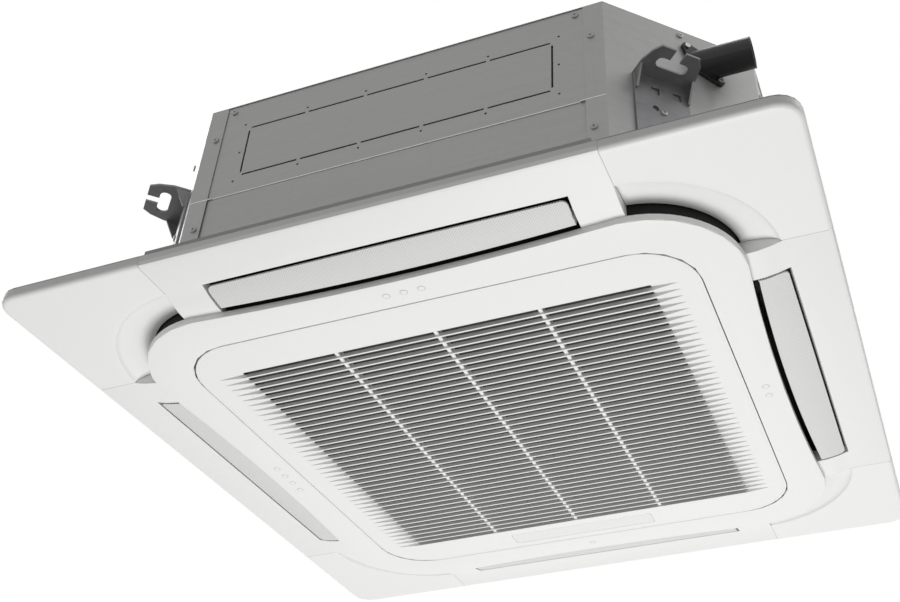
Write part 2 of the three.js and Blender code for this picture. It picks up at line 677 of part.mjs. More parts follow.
function grilleDoor() {
  const plate = prism(roundedSquare(DOOR / 2, DOOR_CORNER_R), RING_Z, DOOR_TOP);
  const lipOut = DOOR / 2 - LIP_INSET;
  const lipR = DOOR_CORNER_R - LIP_INSET;
  const lipTop = DOOR_TOP + LIP_H;
  const lip = band(roundedSquare(lipOut, lipR), roundedSquare(lipOut - LIP_W, lipR - LIP_W), DOOR_TOP - 1, lipTop);
  const first = -((SLOT_COUNT - 1) * SLOT_PITCH) / 2;
  const slots = Array.from({ length: SLOT_COUNT }, (_, i) => slotTool(first + i * SLOT_PITCH));
  let door = cut(plate, ...slots);
  const ribs = Array.from({ length: RIB_COUNT }, (_, i) => {
    const x = (i - (RIB_COUNT - 1) / 2) * RIB_PITCH;
    return block(x - RIB_W / 2, x + RIB_W / 2, first - 10, -first + 10, DOOR_TOP, DOOR_TOP + RIB_H);
  });
  const [length, width, r] = WINDOW;
  const pocket = prism(roundedBar(length + 2 * GAP, width + 2 * GAP, r), RING_Z - 1, RING_Z + WINDOW_T + GAP);
  const light = prism(roundedBar(length - 6, width - 6, r), RING_Z - 1, DOOR_TOP + 1);
  const windowTools = [pocket, light].map((tool) => tool.translate([0, WINDOW_Y, 0]));
  door = cut(join(door, lip, ...ribs), ...windowTools);

  for (const x of [-HINGE_X, HINGE_X]) {
    const clear = HINGE_EAR_W / 2 + 0.8;
    const lobes = [-1, 1].map((side) => {
      const a = x + side * clear;
      const b = x + side * (clear + HINGE_LOBE_W);
      return block(Math.min(a, b), Math.max(a, b), HINGE_Y - 3.5, HINGE_Y + 3.5, DOOR_TOP - 1, HINGE_Z + 3.5);
    });
    const skin = HINGE_Z - EAR_R - EAR_CLEAR;
    const earRoom = block(x - clear, x + clear, -DOOR, HINGE_Y + 3.5, skin, DOOR_TOP + LIP_H + 1);
    const reach = clear + HINGE_LOBE_W + 1;
    const hole = rodX(HINGE_HOLE_R, x - reach, x + reach, 12).translate([0, HINGE_Y, HINGE_Z]);
    door = cut(join(door, ...lobes), earRoom, hole);
  }
  return door;
}

function hingePin(x) {
  const reach = HINGE_EAR_W / 2 + 0.8 + HINGE_LOBE_W;
  return rodX(HINGE_PIN_R, x - reach, x + reach, 10).translate([0, HINGE_Y, HINGE_Z]);
}

function airFilter() {
  const outline = roundedSquare(FILTER / 2, 40, 4);
  const inner = roundedSquare(FILTER / 2 - FILTER_BORDER, 32, 4);
  const border = band(outline, inner, FILTER_Z, FILTER_Z + FILTER_T);
  const net = prism(outline, FILTER_Z + 1, FILTER_Z + 1 + FILTER_NET);
  const bar = FILTER / 2 - FILTER_BORDER / 2;
  const crossbars = [
    block(-3, 3, -bar, bar, FILTER_Z + 0.3, FILTER_Z + FILTER_T - 0.3),
    block(-bar, bar, -3, 3, FILTER_Z + 0.6, FILTER_Z + FILTER_T - 0.6),
  ];
  return join(border, net, ...crossbars);
}

function displayBoard() {
  const [length, width] = WINDOW;
  const z = DOOR_TOP + GAP;
  const board = block(-length / 2, length / 2, WINDOW_Y - width / 2, WINDOW_Y + 8, z, z + 1.6);
  const lamps = [-60, -20, 20, 60].map((x) => {
    const lamp = rod(2.5, z - 2, z + 1, 8);
    return lamp.translate([x, WINDOW_Y, 0]);
  });
  return join(board, ...lamps);
}

// ---- Casing ----------------------------------------------------------------------------------
function screwHead(face, along, z) {
  const head = rodX(SCREW_R, face - 0.2, face + SCREW_H, 8);
  const slot = block(face + SCREW_H - 0.6, face + SCREW_H + 1, -0.5, 0.5, -SCREW_R + 1, SCREW_R - 1);
  return cut(head, slot).translate([0, along, z]);
}

// The knock-out: a rectangle of slits that leaves bridges, with pilot holes beside them.
function knockoutTools() {
  const [length, height, middle] = KNOCKOUT;
  const bay = length / KNOCKOUT_BAYS;
  const tools = [];
  for (const edge of [-1, 1]) {
    const z = middle + (edge * height) / 2;
    for (let i = 0; i < KNOCKOUT_BAYS; i += 1) {
      const start = -length / 2 + i * bay + KNOCKOUT_BRIDGE / 2;
      const z0 = z - KNOCKOUT_SLIT / 2;
      tools.push(block(BODY_HALF - 5, BODY_HALF + 5, start, start + bay - KNOCKOUT_BRIDGE, z0, z0 + KNOCKOUT_SLIT));
    }
    const y0 = (edge * length) / 2 - KNOCKOUT_SLIT / 2;
    const rise = height / 2 - KNOCKOUT_BRIDGE;
    tools.push(block(BODY_HALF - 5, BODY_HALF + 5, y0, y0 + KNOCKOUT_SLIT, middle - rise, middle + rise));
  }
  const pilots = [];
  for (let i = 1; i < KNOCKOUT_BAYS; i += 1) {
    for (const edge of [-1, 1]) pilots.push([-length / 2 + i * bay, edge]);
  }
  for (const end of [-1, 1]) {
    for (const edge of [-1, 0, 1]) pilots.push([end * (length / 2 + PILOT_OFFSET), edge]);
  }
  for (const [along, edge] of pilots) {
    const z = middle + edge * (height / 2 + PILOT_OFFSET);
    tools.push(rodX(PILOT_R, BODY_HALF - 5, BODY_HALF + 5, 6).translate([0, along, z]));
  }
  return tools;
}

function sideSheet(side) {
  const half = FACE_HALF - 2;
  const upper = block(SIDE_OUTER - SHEET, SIDE_OUTER, -half, half, BAND_TOP, SIDE_TOP);
  const lower = block(SIDE_OUTER - 2 * SHEET, SIDE_OUTER - SHEET + 0.2, -half, half, BODY_BOTTOM, BAND_TOP + 8);
  const screws = [35 - FACE_HALF, FACE_HALF - 35].map((along) => screwHead(SIDE_OUTER, along, BODY_TOP - 11));
  const whole = join(upper, lower, ...screws);
  return side === 'near' ? cut(whole, ...knockoutTools()) : whole;
}

function cornerSheet(corner) {
  const outer = BODY_HALF;
  const inner = outer - SHEET;
  const face = FACE_HALF;
  const bent = face - SHEET * Math.tan(Math.PI / 8);
  const end = face - LAP;
  const outline = [[outer, end], [outer, face], [face, outer], [end, outer], [end, inner], [bent, inner]];
  const sheet = prism([...outline, [inner, bent], [inner, end]], BODY_BOTTOM, SIDE_TOP);
  const lapScrews = [];
  for (const z of [78, 229]) {
    const one = screwHead(BODY_HALF, FACE_HALF - LAP / 2 - 3.5, z);
    lapScrews.push(one, one.mirror([1, -1, 0]));
  }
  const top = chamferFrame(screwHead(0, 0, BODY_TOP - 10));
  const bracketScrew = hangerSign(corner) * HANGER_ALONG;
  const whole = join(sheet, ...lapScrews, top);
  const rivetHole = chamferFrame(rodX(BOLT_HOLE_R, -5, 5, 10).translate([0, bracketScrew, HANGER_SCREW_Z]));
  return cut(whole, rivetHole, ...wallHoles(corner, 1));
}

// The holes where the drain and the refrigerant pipes pass through the walls.
function wallHoles(corner, clearance) {
  if (corner === 'near_right') {
    const hole = rodX(SPIGOT_R + clearance, -60, 10, 16).translate([0, DRAIN_ALONG, DRAIN_Z]);
    return [chamferFrame(hole)];
  }
  if (corner === 'far_right') {
    const gas = rodX(GAS_R + clearance, -60, 10, 16).translate([0, PIPE_ALONG, GAS_Z]);
    const liquid = rodX(LIQUID_R + clearance, -60, 10, 12).translate([0, PIPE_ALONG, LIQUID_Z]);
    return [chamferFrame(gas), chamferFrame(liquid)];
  }
  return [];
}

const HANGER_SCREW_Z = 121.7;
const SKIRT_H = 16;
function casingTop() {
  const skirtOut = 2 * SHEET + GAP + SHEET + GAP;
  const plate = prism(octagon(0), SIDE_TOP + GAP, BODY_TOP);
  const skirt = band(octagon(skirtOut), octagon(skirtOut + SHEET), BODY_TOP - SKIRT_H, SIDE_TOP + 1);
  const pressing = rod(LINER_HOLE_R - 6, BODY_TOP - 0.5, BODY_TOP + 0, 32);
  return join(plate, skirt, pressing);
}

// ---- Liner and drain pan ---------------------------------------------------------------------
const LINER_INSET = BODY_HALF - LINER_OUTER + SHEET + 2 * GAP;

function casingLiner() {
  const bottom = PAN_TOP + GAP;
  const top = SIDE_TOP - GAP;
  const walls = band(octagon(LINER_INSET), octagon(LINER_INSET + LINER_T), bottom, top);
  const lid = prism(octagon(LINER_INSET + 2), LID_LOW, top);
  const motorHole = rod(LINER_HOLE_R, bottom, top + 1, 32);
  let liner = cut(join(walls, lid), motorHole);
  CORNERS.forEach((corner, i) => {
    for (const tool of wallHoles(corner, 1.5)) liner = cut(liner, tool.rotate([0, 0, 90 * i]));
  });
  return liner;
}

function drainPan() {
  const outer = BODY_HALF - SIDE_OUTER + 2 * SHEET + GAP;
  const whole = prism(octagon(outer), BODY_BOTTOM, PAN_TOP);
  const middle = prism(roundedSquare(PAN_HOLE_HALF, PAN_HOLE_R), BODY_BOTTOM - 1, PAN_TOP + 1);
  const troughIn = roundedSquare(TROUGH_IN, TROUGH_IN_R);
  const trough = band(roundedSquare(TROUGH_OUT, TROUGH_OUT_R), troughIn, PAN_FLOOR, PAN_TOP + 1);
  let pan = cut(whole, middle, trough);
  const duct = block(DUCT_IN, DUCT_OUT, -BAR_HALF - 4, BAR_HALF + 4, BODY_BOTTOM - 1, PAN_TOP + 1);
  const motorRoom = block(VANE_AXIS_U - 12, VANE_AXIS_U + 12, BAR_HALF, COVER_START - 8, BODY_BOTTOM - 1, 3);
  for (let i = 0; i < 4; i += 1) pan = cut(pan, duct.rotate([0, 0, 90 * i]), motorRoom.rotate([0, 0, 90 * i]));
  return pan;
}

// ---- Coil ------------------------------------------------------------------------------------

function coilEndBox() {
  return block(COIL_END, BODY, COIL_END, BODY, COIL_BOTTOM - 1, COIL_TOP + 1);
}

function coil() {
  const outline = roundedSquare(COIL_HALF, COIL_CORNER_R);
  const loop = band(outline, roundedSquare(COIL_INNER, COIL_INNER_R), COIL_BOTTOM, COIL_TOP);
  return cut(loop, coilEndBox());
}

// The end plate closes the loop's end and carries the return bends of the tubes.
function coilEndPlate() {
  const outer = END_PLATE_Y + END_PLATE_T;
  const plate = block(COIL_INNER - 1, COIL_HALF + 2, END_PLATE_Y, outer, COIL_BOTTOM, COIL_TOP);
  const middle = (COIL_INNER + COIL_HALF) / 2;
  const section = arc(BEND_R, 0, BEND_TUBE_R, 0, 2 * Math.PI, 6).slice(1);
  const bend = cut(turned(section, 12).rotate([0, 90, 0]), block(-50, 50, -50, 0, -50, 50));
  const bends = Array.from({ length: BEND_COUNT }, (_, i) => {
    return bend.translate([middle, outer - 0.5, COIL_BOTTOM + (i + 0.5) * BEND_PITCH]);
  });
  return join(plate, ...bends);
}

// A refrigerant pipe: out of the coil's end plate, round to the chamfer and out to the flare.
function pipe(r, z, coilZ) {
  const inChamfer = (x, y) => [(x + y) / Math.SQRT2, (y - x) / Math.SQRT2];
  const coilX = (COIL_INNER + COIL_HALF) / 2;
  const start = END_PLATE_Y + END_PLATE_T + GAP;
  const points = [
    [...inChamfer(coilX, start), coilZ],
    [...inChamfer(coilX, start + 22), coilZ],
    [CHAMFER - 66, PIPE_ALONG, (coilZ + z) / 2],
    [CHAMFER - 42, PIPE_ALONG, z],
    [CHAMFER - 20, PIPE_ALONG, z],
    [CHAMFER + PIPE_REACH, PIPE_ALONG, z],
  ];
  return tube(points, r, 12, 8).rotate([0, 0, 45]);
}

function flareNut(r, z) {
  const from = PIPE_REACH - 4;
  const outer = rodX(r * 1.55, from, from + 2.4 * r, 6);
  const bore = rodX(r + GAP, from - 1, PIPE_REACH + GAP, 12);
  const mouth = rodX(r * 0.75, from, from + 3 * r, 12);
  return chamferFrame(cut(outer, bore, mouth).translate([0, PIPE_ALONG, z]));
}

// ---- Fan -------------------------------------------------------------------------------------
function bellmouth() {
  const wide = 231;
  const plate = cut(
    prism(roundedSquare(PAN_HOLE_HALF - GAP, PAN_HOLE_R), BELL_Z, BELL_Z + BELL_T),
    rod(wide, BELL_Z - 1, BELL_Z + BELL_T + 1, 28),
  );
  const [length, width] = CONTROL;
  const y = CONTROL_Y;
  const [x, dy] = [length / 2 + GAP, width / 2 + GAP];
  const boxRoom = block(-x, x, y - dy, y + dy, 0, PAN_TOP);
  const throat = BELL_THROAT_R;
  const lip = turned([
    [wide + 2, BELL_Z + 0.5],
    [wide + 2, BELL_Z + BELL_T - 0.5],
    [wide - 2, BELL_Z + BELL_T + 0.5],
    [220, BELL_Z + 6],
    [throat + 5, BELL_Z + 16],
    [throat + 2, BELL_LIP],
    [throat, BELL_LIP],
    [throat + 2.5, BELL_Z + 14],
    [218, BELL_Z + 4],
    [wide - 3, BELL_Z + 0.5],
  ]);
  return join(cut(plate, boxRoom), lip);
}

function turboFan() {
  const t = 3;
  const mouth = BELL_THROAT_R + 6;
  const shroud = turned([
    [mouth, 32],
    [mouth + 2.5, 32],
    [mouth + 3.5, 42],
    [mouth + 9, 50],
    [FAN_R, 57],
    [FAN_R, 60],
    [mouth + 7.5, 52.5],
    [mouth + 1, 43],
  ]);
  const dish = [MOTOR_R + 14, SHAFT_LOW + 22];
  const rim = [MOTOR_R + 42, FAN_TOP];
  const bore = SHAFT_R + GAP;
  const back = turned([
    [bore, SHAFT_LOW + 10],
    [22, SHAFT_LOW + 10],
    [22, dish[1] - t],
    [dish[0] + 2, dish[1] - t],
    [rim[0] + 1, rim[1] - t],
    [FAN_R, rim[1] - t],
    [FAN_R, rim[1]],
    rim,
    dish,
    [bore, dish[1]],
  ]);
  const blades = Array.from({ length: BLADE_COUNT }, (_, i) => blade().rotate([0, 0, (360 * i) / BLADE_COUNT]));
  return join(shroud, back, ...blades);
}

// A blade leans back from its root to its tip.
function blade() {
  const steps = 5;
  const line = Array.from({ length: steps + 1 }, (_, i) => {
    const t = i / steps;
    const r = BLADE_ROOT_R + (FAN_R - 1 - BLADE_ROOT_R) * t;
    const a = BLADE_SWEEP * Math.sin((t * Math.PI) / 2);
    return [r, a];
  });
  const edge = (side) => line.map(([r, a]) => {
    const shift = (side * BLADE_T) / 2 / r;
    return [r * Math.cos(a + shift), r * Math.sin(a + shift)];
  });
  return prism([...edge(-1), ...edge(1).reverse()], 57.5, FAN_TOP - 1);
}

function motorShaft() {
  return rod(SHAFT_R, SHAFT_LOW, MOTOR_LOW + 14, 16);
}

function fanNut() {
  const nut = rod(12, SHAFT_LOW + 2, SHAFT_LOW + 10 - GAP, 6);
  return cut(nut, rod(SHAFT_R + GAP, SHAFT_LOW, SHAFT_LOW + 12, 16));
}

function fanMotor() {
  const bore = SHAFT_R + GAP;
  const can = turned([
    [0, MOTOR_LOW + 15],
    [bore, MOTOR_LOW + 15],
    [bore, MOTOR_LOW - 3],
    [24, MOTOR_LOW - 3],
    [28, MOTOR_LOW],
    [MOTOR_R - 8, MOTOR_LOW],
    [MOTOR_R, MOTOR_LOW + 7],
    [MOTOR_R, MOTOR_HIGH - 8],
    [MOTOR_R - 7, MOTOR_HIGH],
    [0, MOTOR_HIGH],
  ], 24);
  const feet = Array.from({ length: FEET }, (_, i) => {
    const arm = block(MOTOR_R - 6, FOOT_R + 8, -10, 10, FOOT_Z, FOOT_Z + 4);
    const bush = rod(BUSH_R, FOOT_Z - 5, SIDE_TOP, 12).translate([FOOT_R, 0, 0]);
    return join(arm, bush).rotate([0, 0, (360 * i) / FEET]);
  });
  return join(can, ...feet);
}

// ---- Drain -----------------------------------------------------------------------------------
// The outlet sits on the chamfer and its pipe turns to run level along +X.
function drainOutlet() {
  const lug = DRAIN_LUG / Math.SQRT2;
  const plate = 4;
  const rings = [[lug, 6.5], [0, DRAIN_R], [-lug, 6.5]];
  const corners = rings.flatMap(([shift, r]) => arc(-shift, shift, r, 0, 2 * Math.PI, 16).slice(1));
  const foot = hull(corners.flatMap(([y, z]) => [[GAP, y, z], [GAP + plate, y, z]]));
  const inward = rodX(SPIGOT_R, -26, GAP + 1, 16);
  const base = chamferFrame(join(foot, inward).translate([0, DRAIN_ALONG, DRAIN_Z]));
  const [x, y] = drainSpot();
  const start = x - 4;
  const stem = rodX(DRAIN_R, start - 12, DRAIN_END_X, 24).translate([0, y, DRAIN_Z]);
  const behind = chamferFrame(block(-90, GAP, -90, 90, DRAIN_Z - 40, DRAIN_Z + 40));
  const bore = rodX(DRAIN_BORE_R, start + 22, DRAIN_END_X + 1, 20).translate([0, y, DRAIN_Z]);
  const screwHoles = [1, -1].map((side) => {
    const hole = rodX(2, -1, 10, 10).translate([0, DRAIN_ALONG - side * lug, DRAIN_Z + side * lug]);
    return chamferFrame(hole);
  });
  const turnBack = [0, 0, -90];
  const shape = join(base.rotate(turnBack), cut(stem, behind.rotate(turnBack)));
  return cut(shape, bore, ...screwHoles.map((hole) => hole.rotate(turnBack)));
}

// The middle of the drain's foot on the near right chamfer.
function drainSpot() {
  const along = DRAIN_ALONG / Math.SQRT2;
  const out = CHAMFER / Math.SQRT2;
  return [out + along, -out + along];
}

function drainScrew(side) {
  const lug = DRAIN_LUG / Math.SQRT2;
  const head = rodX(3.6, 4 + 2 * GAP, 6.8, 12);
  const shank = rodX(1.7, 1, 5, 10);
  const cross = block(6, 7.5, -0.5, 0.5, -2.2, 2.2);
  return chamferFrame(cut(join(head, shank), cross).translate([0, DRAIN_ALONG - side * lug, DRAIN_Z + side * lug]));
}

const PUMP_OUT = -46;
const PUMP_ALONG = -12;
const FLOAT_ALONG = -44;
function drainPump() {
  const z = PAN_TOP + GAP;
  const body = turned([
    [0, z], [PUMP_R - 6, z], [PUMP_R, z + 8], [PUMP_R, z + PUMP_H - 30], [PUMP_R - 5, z + PUMP_H - 25],
    [PUMP_R - 5, z + PUMP_H - 4], [PUMP_R - 8, z + PUMP_H], [0, z + PUMP_H],
  ], 20);
  const arm = block(-3, 3, FLOAT_ALONG - PUMP_ALONG, -PUMP_R + 4, z + 36, z + 40);
  const stem = rod(2.6, z, z + 38, 10).translate([0, FLOAT_ALONG - PUMP_ALONG, 0]);
  const stop = rod(5, z, z + 3, 10).translate([0, FLOAT_ALONG - PUMP_ALONG, 0]);
  return chamferFrame(join(body, arm, stem, stop).translate([PUMP_OUT, PUMP_ALONG, 0]));
}

function drainFloat() {
  const z = PAN_TOP + GAP + 3 + GAP;
  const ring = cut(rod(FLOAT_R, z, z + 12, 16), rod(3.3, z - 1, z + 13, 10));
  return chamferFrame(ring.translate([PUMP_OUT, FLOAT_ALONG, 0]));
}

// The riser carries the water from the pump's top up to the outlet.
function drainRiser() {
  const low = PAN_TOP + GAP + PUMP_H + GAP;
  const points = [
    [PUMP_OUT, PUMP_ALONG, low],
    [PUMP_OUT, PUMP_ALONG, low + 30],
    [PUMP_OUT, PUMP_ALONG + 12, DRAIN_Z - 24],
    [PUMP_OUT, DRAIN_ALONG, DRAIN_Z - 4],
    [-36, DRAIN_ALONG, DRAIN_Z],
    [-26 - GAP, DRAIN_ALONG, DRAIN_Z],
  ];
  return chamferFrame(tube(points, 8, 12, 8));
}

// ---- Hanger bracket --------------------------------------------------------------------------
function hanger(corner) {
  const half = HANGER_W / 2;
  const inner = GAP;
  const plate = block(inner, inner + HANGER_T, -half, half, GAP, HANGER_TOP);
  const tip = HANGER_REACH;
  const flangeOutline = [
    [inner, -half], [22, -half], [40, -half + 5], [tip, -24], [tip, 24], [40, half - 5], [22, half], [inner, half],
  ];
  const flange = prism(flangeOutline, HANGER_TOP - HANGER_T, HANGER_TOP);
  const gussets = [-1, 1].map((side) => {
    const a = side > 0 ? half - HANGER_T - 0.5 : -half + 0.5;
    return sideways([[inner + 1, 148], [6, 148], [20, HANGER_TOP - 1], [inner + 1, HANGER_TOP - 1]], a, a + HANGER_T);
  });
  const slotOutline = roundedBar(ROD_SLOT_L, ROD_SLOT_W, ROD_SLOT_W / 2 - 0.5).map(([x, y]) => [y + ROD_OUT, x]);
  const slot = prism(slotOutline, HANGER_TOP - 10, HANGER_TOP + 1);
  const throat = block(ROD_OUT, tip + 1, -THROAT_W / 2, THROAT_W / 2, HANGER_TOP - 10, HANGER_TOP + 1);
  const squares = [[-9, 154], [20, 156]].map(([y, z]) => block(-1, 9, y - 5.5, y + 5.5, z - 5.5, z + 5.5));
  const round = rodX(4.5, -1, 9, 8).translate([0, -10, 125]);
  const footEnd = PANEL_BOLT_OUT + 9;
  const foot = block(inner, footEnd, -12, 12, GAP, GAP + HANGER_T);
  const footHole = rod(BOLT_HOLE_R, -1, 9, 8).translate([PANEL_BOLT_OUT, 0, 0]);
  const screw = screwHead(inner + HANGER_T, 0, HANGER_SCREW_Z);
  const whole = cut(join(plate, flange, foot, ...gussets, screw), slot, throat, ...squares, round, footHole);
  const along = hangerSign(corner) * HANGER_ALONG;
  return chamferFrame(whole.translate([0, along, 0]));
}

function panelBolt() {
  const head = rod(BOLT_HEAD_R, WEB_LOW + GAP, WEB_LOW + BOLT_HEAD_H, 10);
  const hex = rod(2.4, WEB_LOW, WEB_LOW + 2, 6);
  const shank = rod(BOLT_R, WEB_LOW + 2, 9, 8);
  return join(cut(head, hex), cut(shank, rod(9, WEB_LOW, WEB_LOW + 2.2, 6)));
}

// ---- Control box -----------------------------------------------------------------------------
function controlBox() {
  const [length, width, height] = CONTROL;
  const z = CONTROL_Z + CONTROL_WALL + GAP;
  const top = CONTROL_Z + height;
  const outer = block(-length / 2, length / 2, -width / 2, width / 2, z, top);
  const w = CONTROL_WALL;
  const inner = block(-length / 2 + w, length / 2 - w, -width / 2 + w, width / 2 - w, z - 1, top - w);
  const cableHole = rodX(8, length / 2 - 5, length / 2 + 5, 12).translate([0, 0, z + 18]);
  return cut(outer, inner, cableHole).translate([0, CONTROL_Y, 0]);
}

function controlLid() {
  const [length, width] = CONTROL;
  const lid = block(-length / 2, length / 2, -width / 2, width / 2, CONTROL_Z, CONTROL_Z + CONTROL_WALL);
  const screws = [-1, 1].map((side) => rod(4, CONTROL_Z - 1.2, CONTROL_Z + 0.2, 10).translate([side * 138, 0, 0]));
  return join(lid, ...screws).translate([0, CONTROL_Y, 0]);
}

function controlBoard() {
  const top = CONTROL_Z + CONTROL[2] - CONTROL_WALL - GAP;
  const board = block(-130, 130, -24, 24, top - 8, top - 6.4);
  const posts = [-120, 120].map((x) => rod(3, top - 7, top, 8).translate([x, 0, 0]));
  const terminal = block(60, 118, -20, -2, top - 24, top - 7);
  const transformer = block(-60, -20, -18, 18, top - 28, top - 7);
  const relays = [0, 22].map((x) => block(x - 8, x + 8, -10, 10, top - 22, top - 7));
  return join(board, ...posts, terminal, transformer, ...relays).translate([0, CONTROL_Y, 0]);
}

// ---- Put together ----------------------------------------------------------------------------
place('casing_top', casingTop(), SHEET_STEEL);
for (const side of SIDES) place(`casing_side_${side}`, sideSheet(side), SHEET_STEEL, sideGroups[side]);
for (const corner of CORNERS) {
  place(`casing_corner_${corner}`, cornerSheet(corner), SHEET_STEEL, cornerGroups[corner]);
  place(`hanger_${corner}`, hanger(corner), BRACKET_STEEL, cornerGroups[corner]);
}
place('casing_liner', casingLiner(), FOAM_WHITE);
place('drain_pan', drainPan(), FOAM_BLACK);
place('coil', coil(), FINS);
place('coil_end_plate_liquid', coilEndPlate(), SHEET_STEEL);
place('coil_end_plate_gas', coilEndPlate().mirror([1, -1, 0]), SHEET_STEEL);
place('liquid_pipe', pipe(LIQUID_R, LIQUID_Z, COIL_BOTTOM + BEND_PITCH), COPPER);
place('gas_pipe', pipe(GAS_R, GAS_Z, COIL_BOTTOM + 2 * BEND_PITCH), COPPER);
place('liquid_flare_nut', flareNut(LIQUID_R, LIQUID_Z), BRASS);
place('gas_flare_nut', flareNut(GAS_R, GAS_Z), BRASS);
place('bellmouth', bellmouth(), BLACK);
place('fan_motor', fanMotor(), MOTOR_STEEL);
place('motor_shaft', motorShaft(), SCREW_STEEL);
place('turbo_fan', turboFan(), FAN_GREY);
place('fan_nut', fanNut(), SCREW_STEEL);

place('drain_pump', drainPump(), WHITE, cornerGroups.near_right);
place('drain_float', drainFloat(), WHITE, cornerGroups.near_right);
place('drain_riser', drainRiser(), BLACK, cornerGroups.near_right);
place('drain_outlet', drainOutlet(), BLACK);
place('drain_screw_upper', drainScrew(1), SCREW_STEEL, cornerGroups.near_right);
place('drain_screw_lower', drainScrew(-1), SCREW_STEEL, cornerGroups.near_right);

place('control_box', controlBox(), SHEET_STEEL);
place('control_lid', controlLid(), SHEET_STEEL);
place('control_board', controlBoard(), BOARD_GREEN);

place('panel_frame', panelFrame(), WHITE);
place('ceiling_seal', ceilingSeal(), FOAM_BLACK);
for (const corner of CORNERS) {
  place(`corner_cover_${corner}`, cornerCover(), WHITE, cornerGroups[corner]);
  const bolt = panelBolt().translate(panelBoltSpot(corner));
  place(`panel_bolt_${corner}`, bolt, SCREW_STEEL);
}
for (const side of SIDES) {
  place(`vane_${side}`, vane(), VANE_GREY, sideGroups[side]);
  place(`vane_motor_${side}`, vaneMotor(), WHITE, sideGroups[side]);
}
place('grille_door', grilleDoor(), WHITE);
place('display_window', displayWindow(), SMOKE);
place('display_board', displayBoard(), BOARD_GREEN);
place('air_filter', airFilter(), NET_GREY);
place('hinge_pin_left', hingePin(-HINGE_X), SCREW_STEEL);
place('hinge_pin_right', hingePin(HINGE_X), SCREW_STEEL);

function displayWindow() {
  const [length, width, r] = WINDOW;
  return prism(roundedBar(length, width, r), RING_Z, RING_Z + WINDOW_T).translate([0, WINDOW_Y, 0]);
}

export default cassette;
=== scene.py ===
"""Looks of a four-way ceiling cassette air conditioner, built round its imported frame."""

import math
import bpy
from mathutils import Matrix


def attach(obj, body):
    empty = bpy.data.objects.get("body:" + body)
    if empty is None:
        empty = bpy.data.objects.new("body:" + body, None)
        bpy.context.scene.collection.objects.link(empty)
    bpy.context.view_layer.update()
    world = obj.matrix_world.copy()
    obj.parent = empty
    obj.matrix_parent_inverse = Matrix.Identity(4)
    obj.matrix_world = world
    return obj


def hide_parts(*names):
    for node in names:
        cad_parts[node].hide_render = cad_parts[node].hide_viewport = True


bl_info = {
    "name": "Ceiling cassette looks",
    "version": (1, 0, 0),
    "blender": (4, 5, 0),
    "location": "View3D > Sidebar > Cassette",
    "description": "Dresses the frame of a ceiling cassette air conditioner",
    "category": "Object",
}

import bmesh
import bpy
from mathutils import Matrix, Vector

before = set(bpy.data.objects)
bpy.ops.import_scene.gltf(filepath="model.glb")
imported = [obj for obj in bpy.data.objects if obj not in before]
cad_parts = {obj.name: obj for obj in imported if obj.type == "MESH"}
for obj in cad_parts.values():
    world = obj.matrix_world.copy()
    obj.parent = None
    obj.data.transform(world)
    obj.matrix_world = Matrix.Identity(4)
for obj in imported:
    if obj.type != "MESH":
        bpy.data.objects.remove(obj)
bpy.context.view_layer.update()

QUARTER = math.pi / 2
SEED = 3
WELD = 0.00001  # vertices nearer than this are one
SIDES = ("right", "far", "left", "near")
CORNERS = ("far_right", "far_left", "near_left", "near_right")
SIDE_TURN = {side: QUARTER * i for i, side in enumerate(SIDES)}
CORNER_TURN = {corner: QUARTER * i for i, corner in enumerate(CORNERS)}
CASING_HALF = 0.42  # from the axis to a corner sheet's flange
CASING_FLAT = 0.27  # half the length of a casing side between its chamfers
CHAMFER = (CASING_HALF + CASING_FLAT) / math.sqrt(2)  # from the axis to a chamfer
SHEET_AT = 0.4187  # from the axis to the outer face of a side sheet
BAND_TOP = 0.124  # height of the lower edge of a side's upper sheet
DOOR_GAP = 0.0015  # between the door and the ring
SLOT_COUNT = 41
RIB_AT = 0.1325  # from the middle rib of the door to its neighbours
OUTLET_OUTER = 0.420  # from the axis to the outer side of an outlet
SEAM_AT = 0.2722  # from a centre line of the panel to a corner cover's seam


# ---- Sizes and colours -----------------------------------------------------------------------
def length(name, default, description):
    return bpy.props.FloatProperty(
        name=name, description=description, default=default, unit="LENGTH", precision=5
    )


def colour(name, code, description):
    """A colour written as on a screen, such as 'ededed'."""
    parts = [int(code[i : i + 2], 16) / 255 for i in (0, 2, 4)]
    linear = [p / 12.92 if p <= 0.04045 else ((p + 0.055) / 1.055) ** 2.4 for p in parts]
    return bpy.props.FloatVectorProperty(
        name=name, description=description, default=linear, size=3, min=0, max=1, subtype="COLOR"
    )


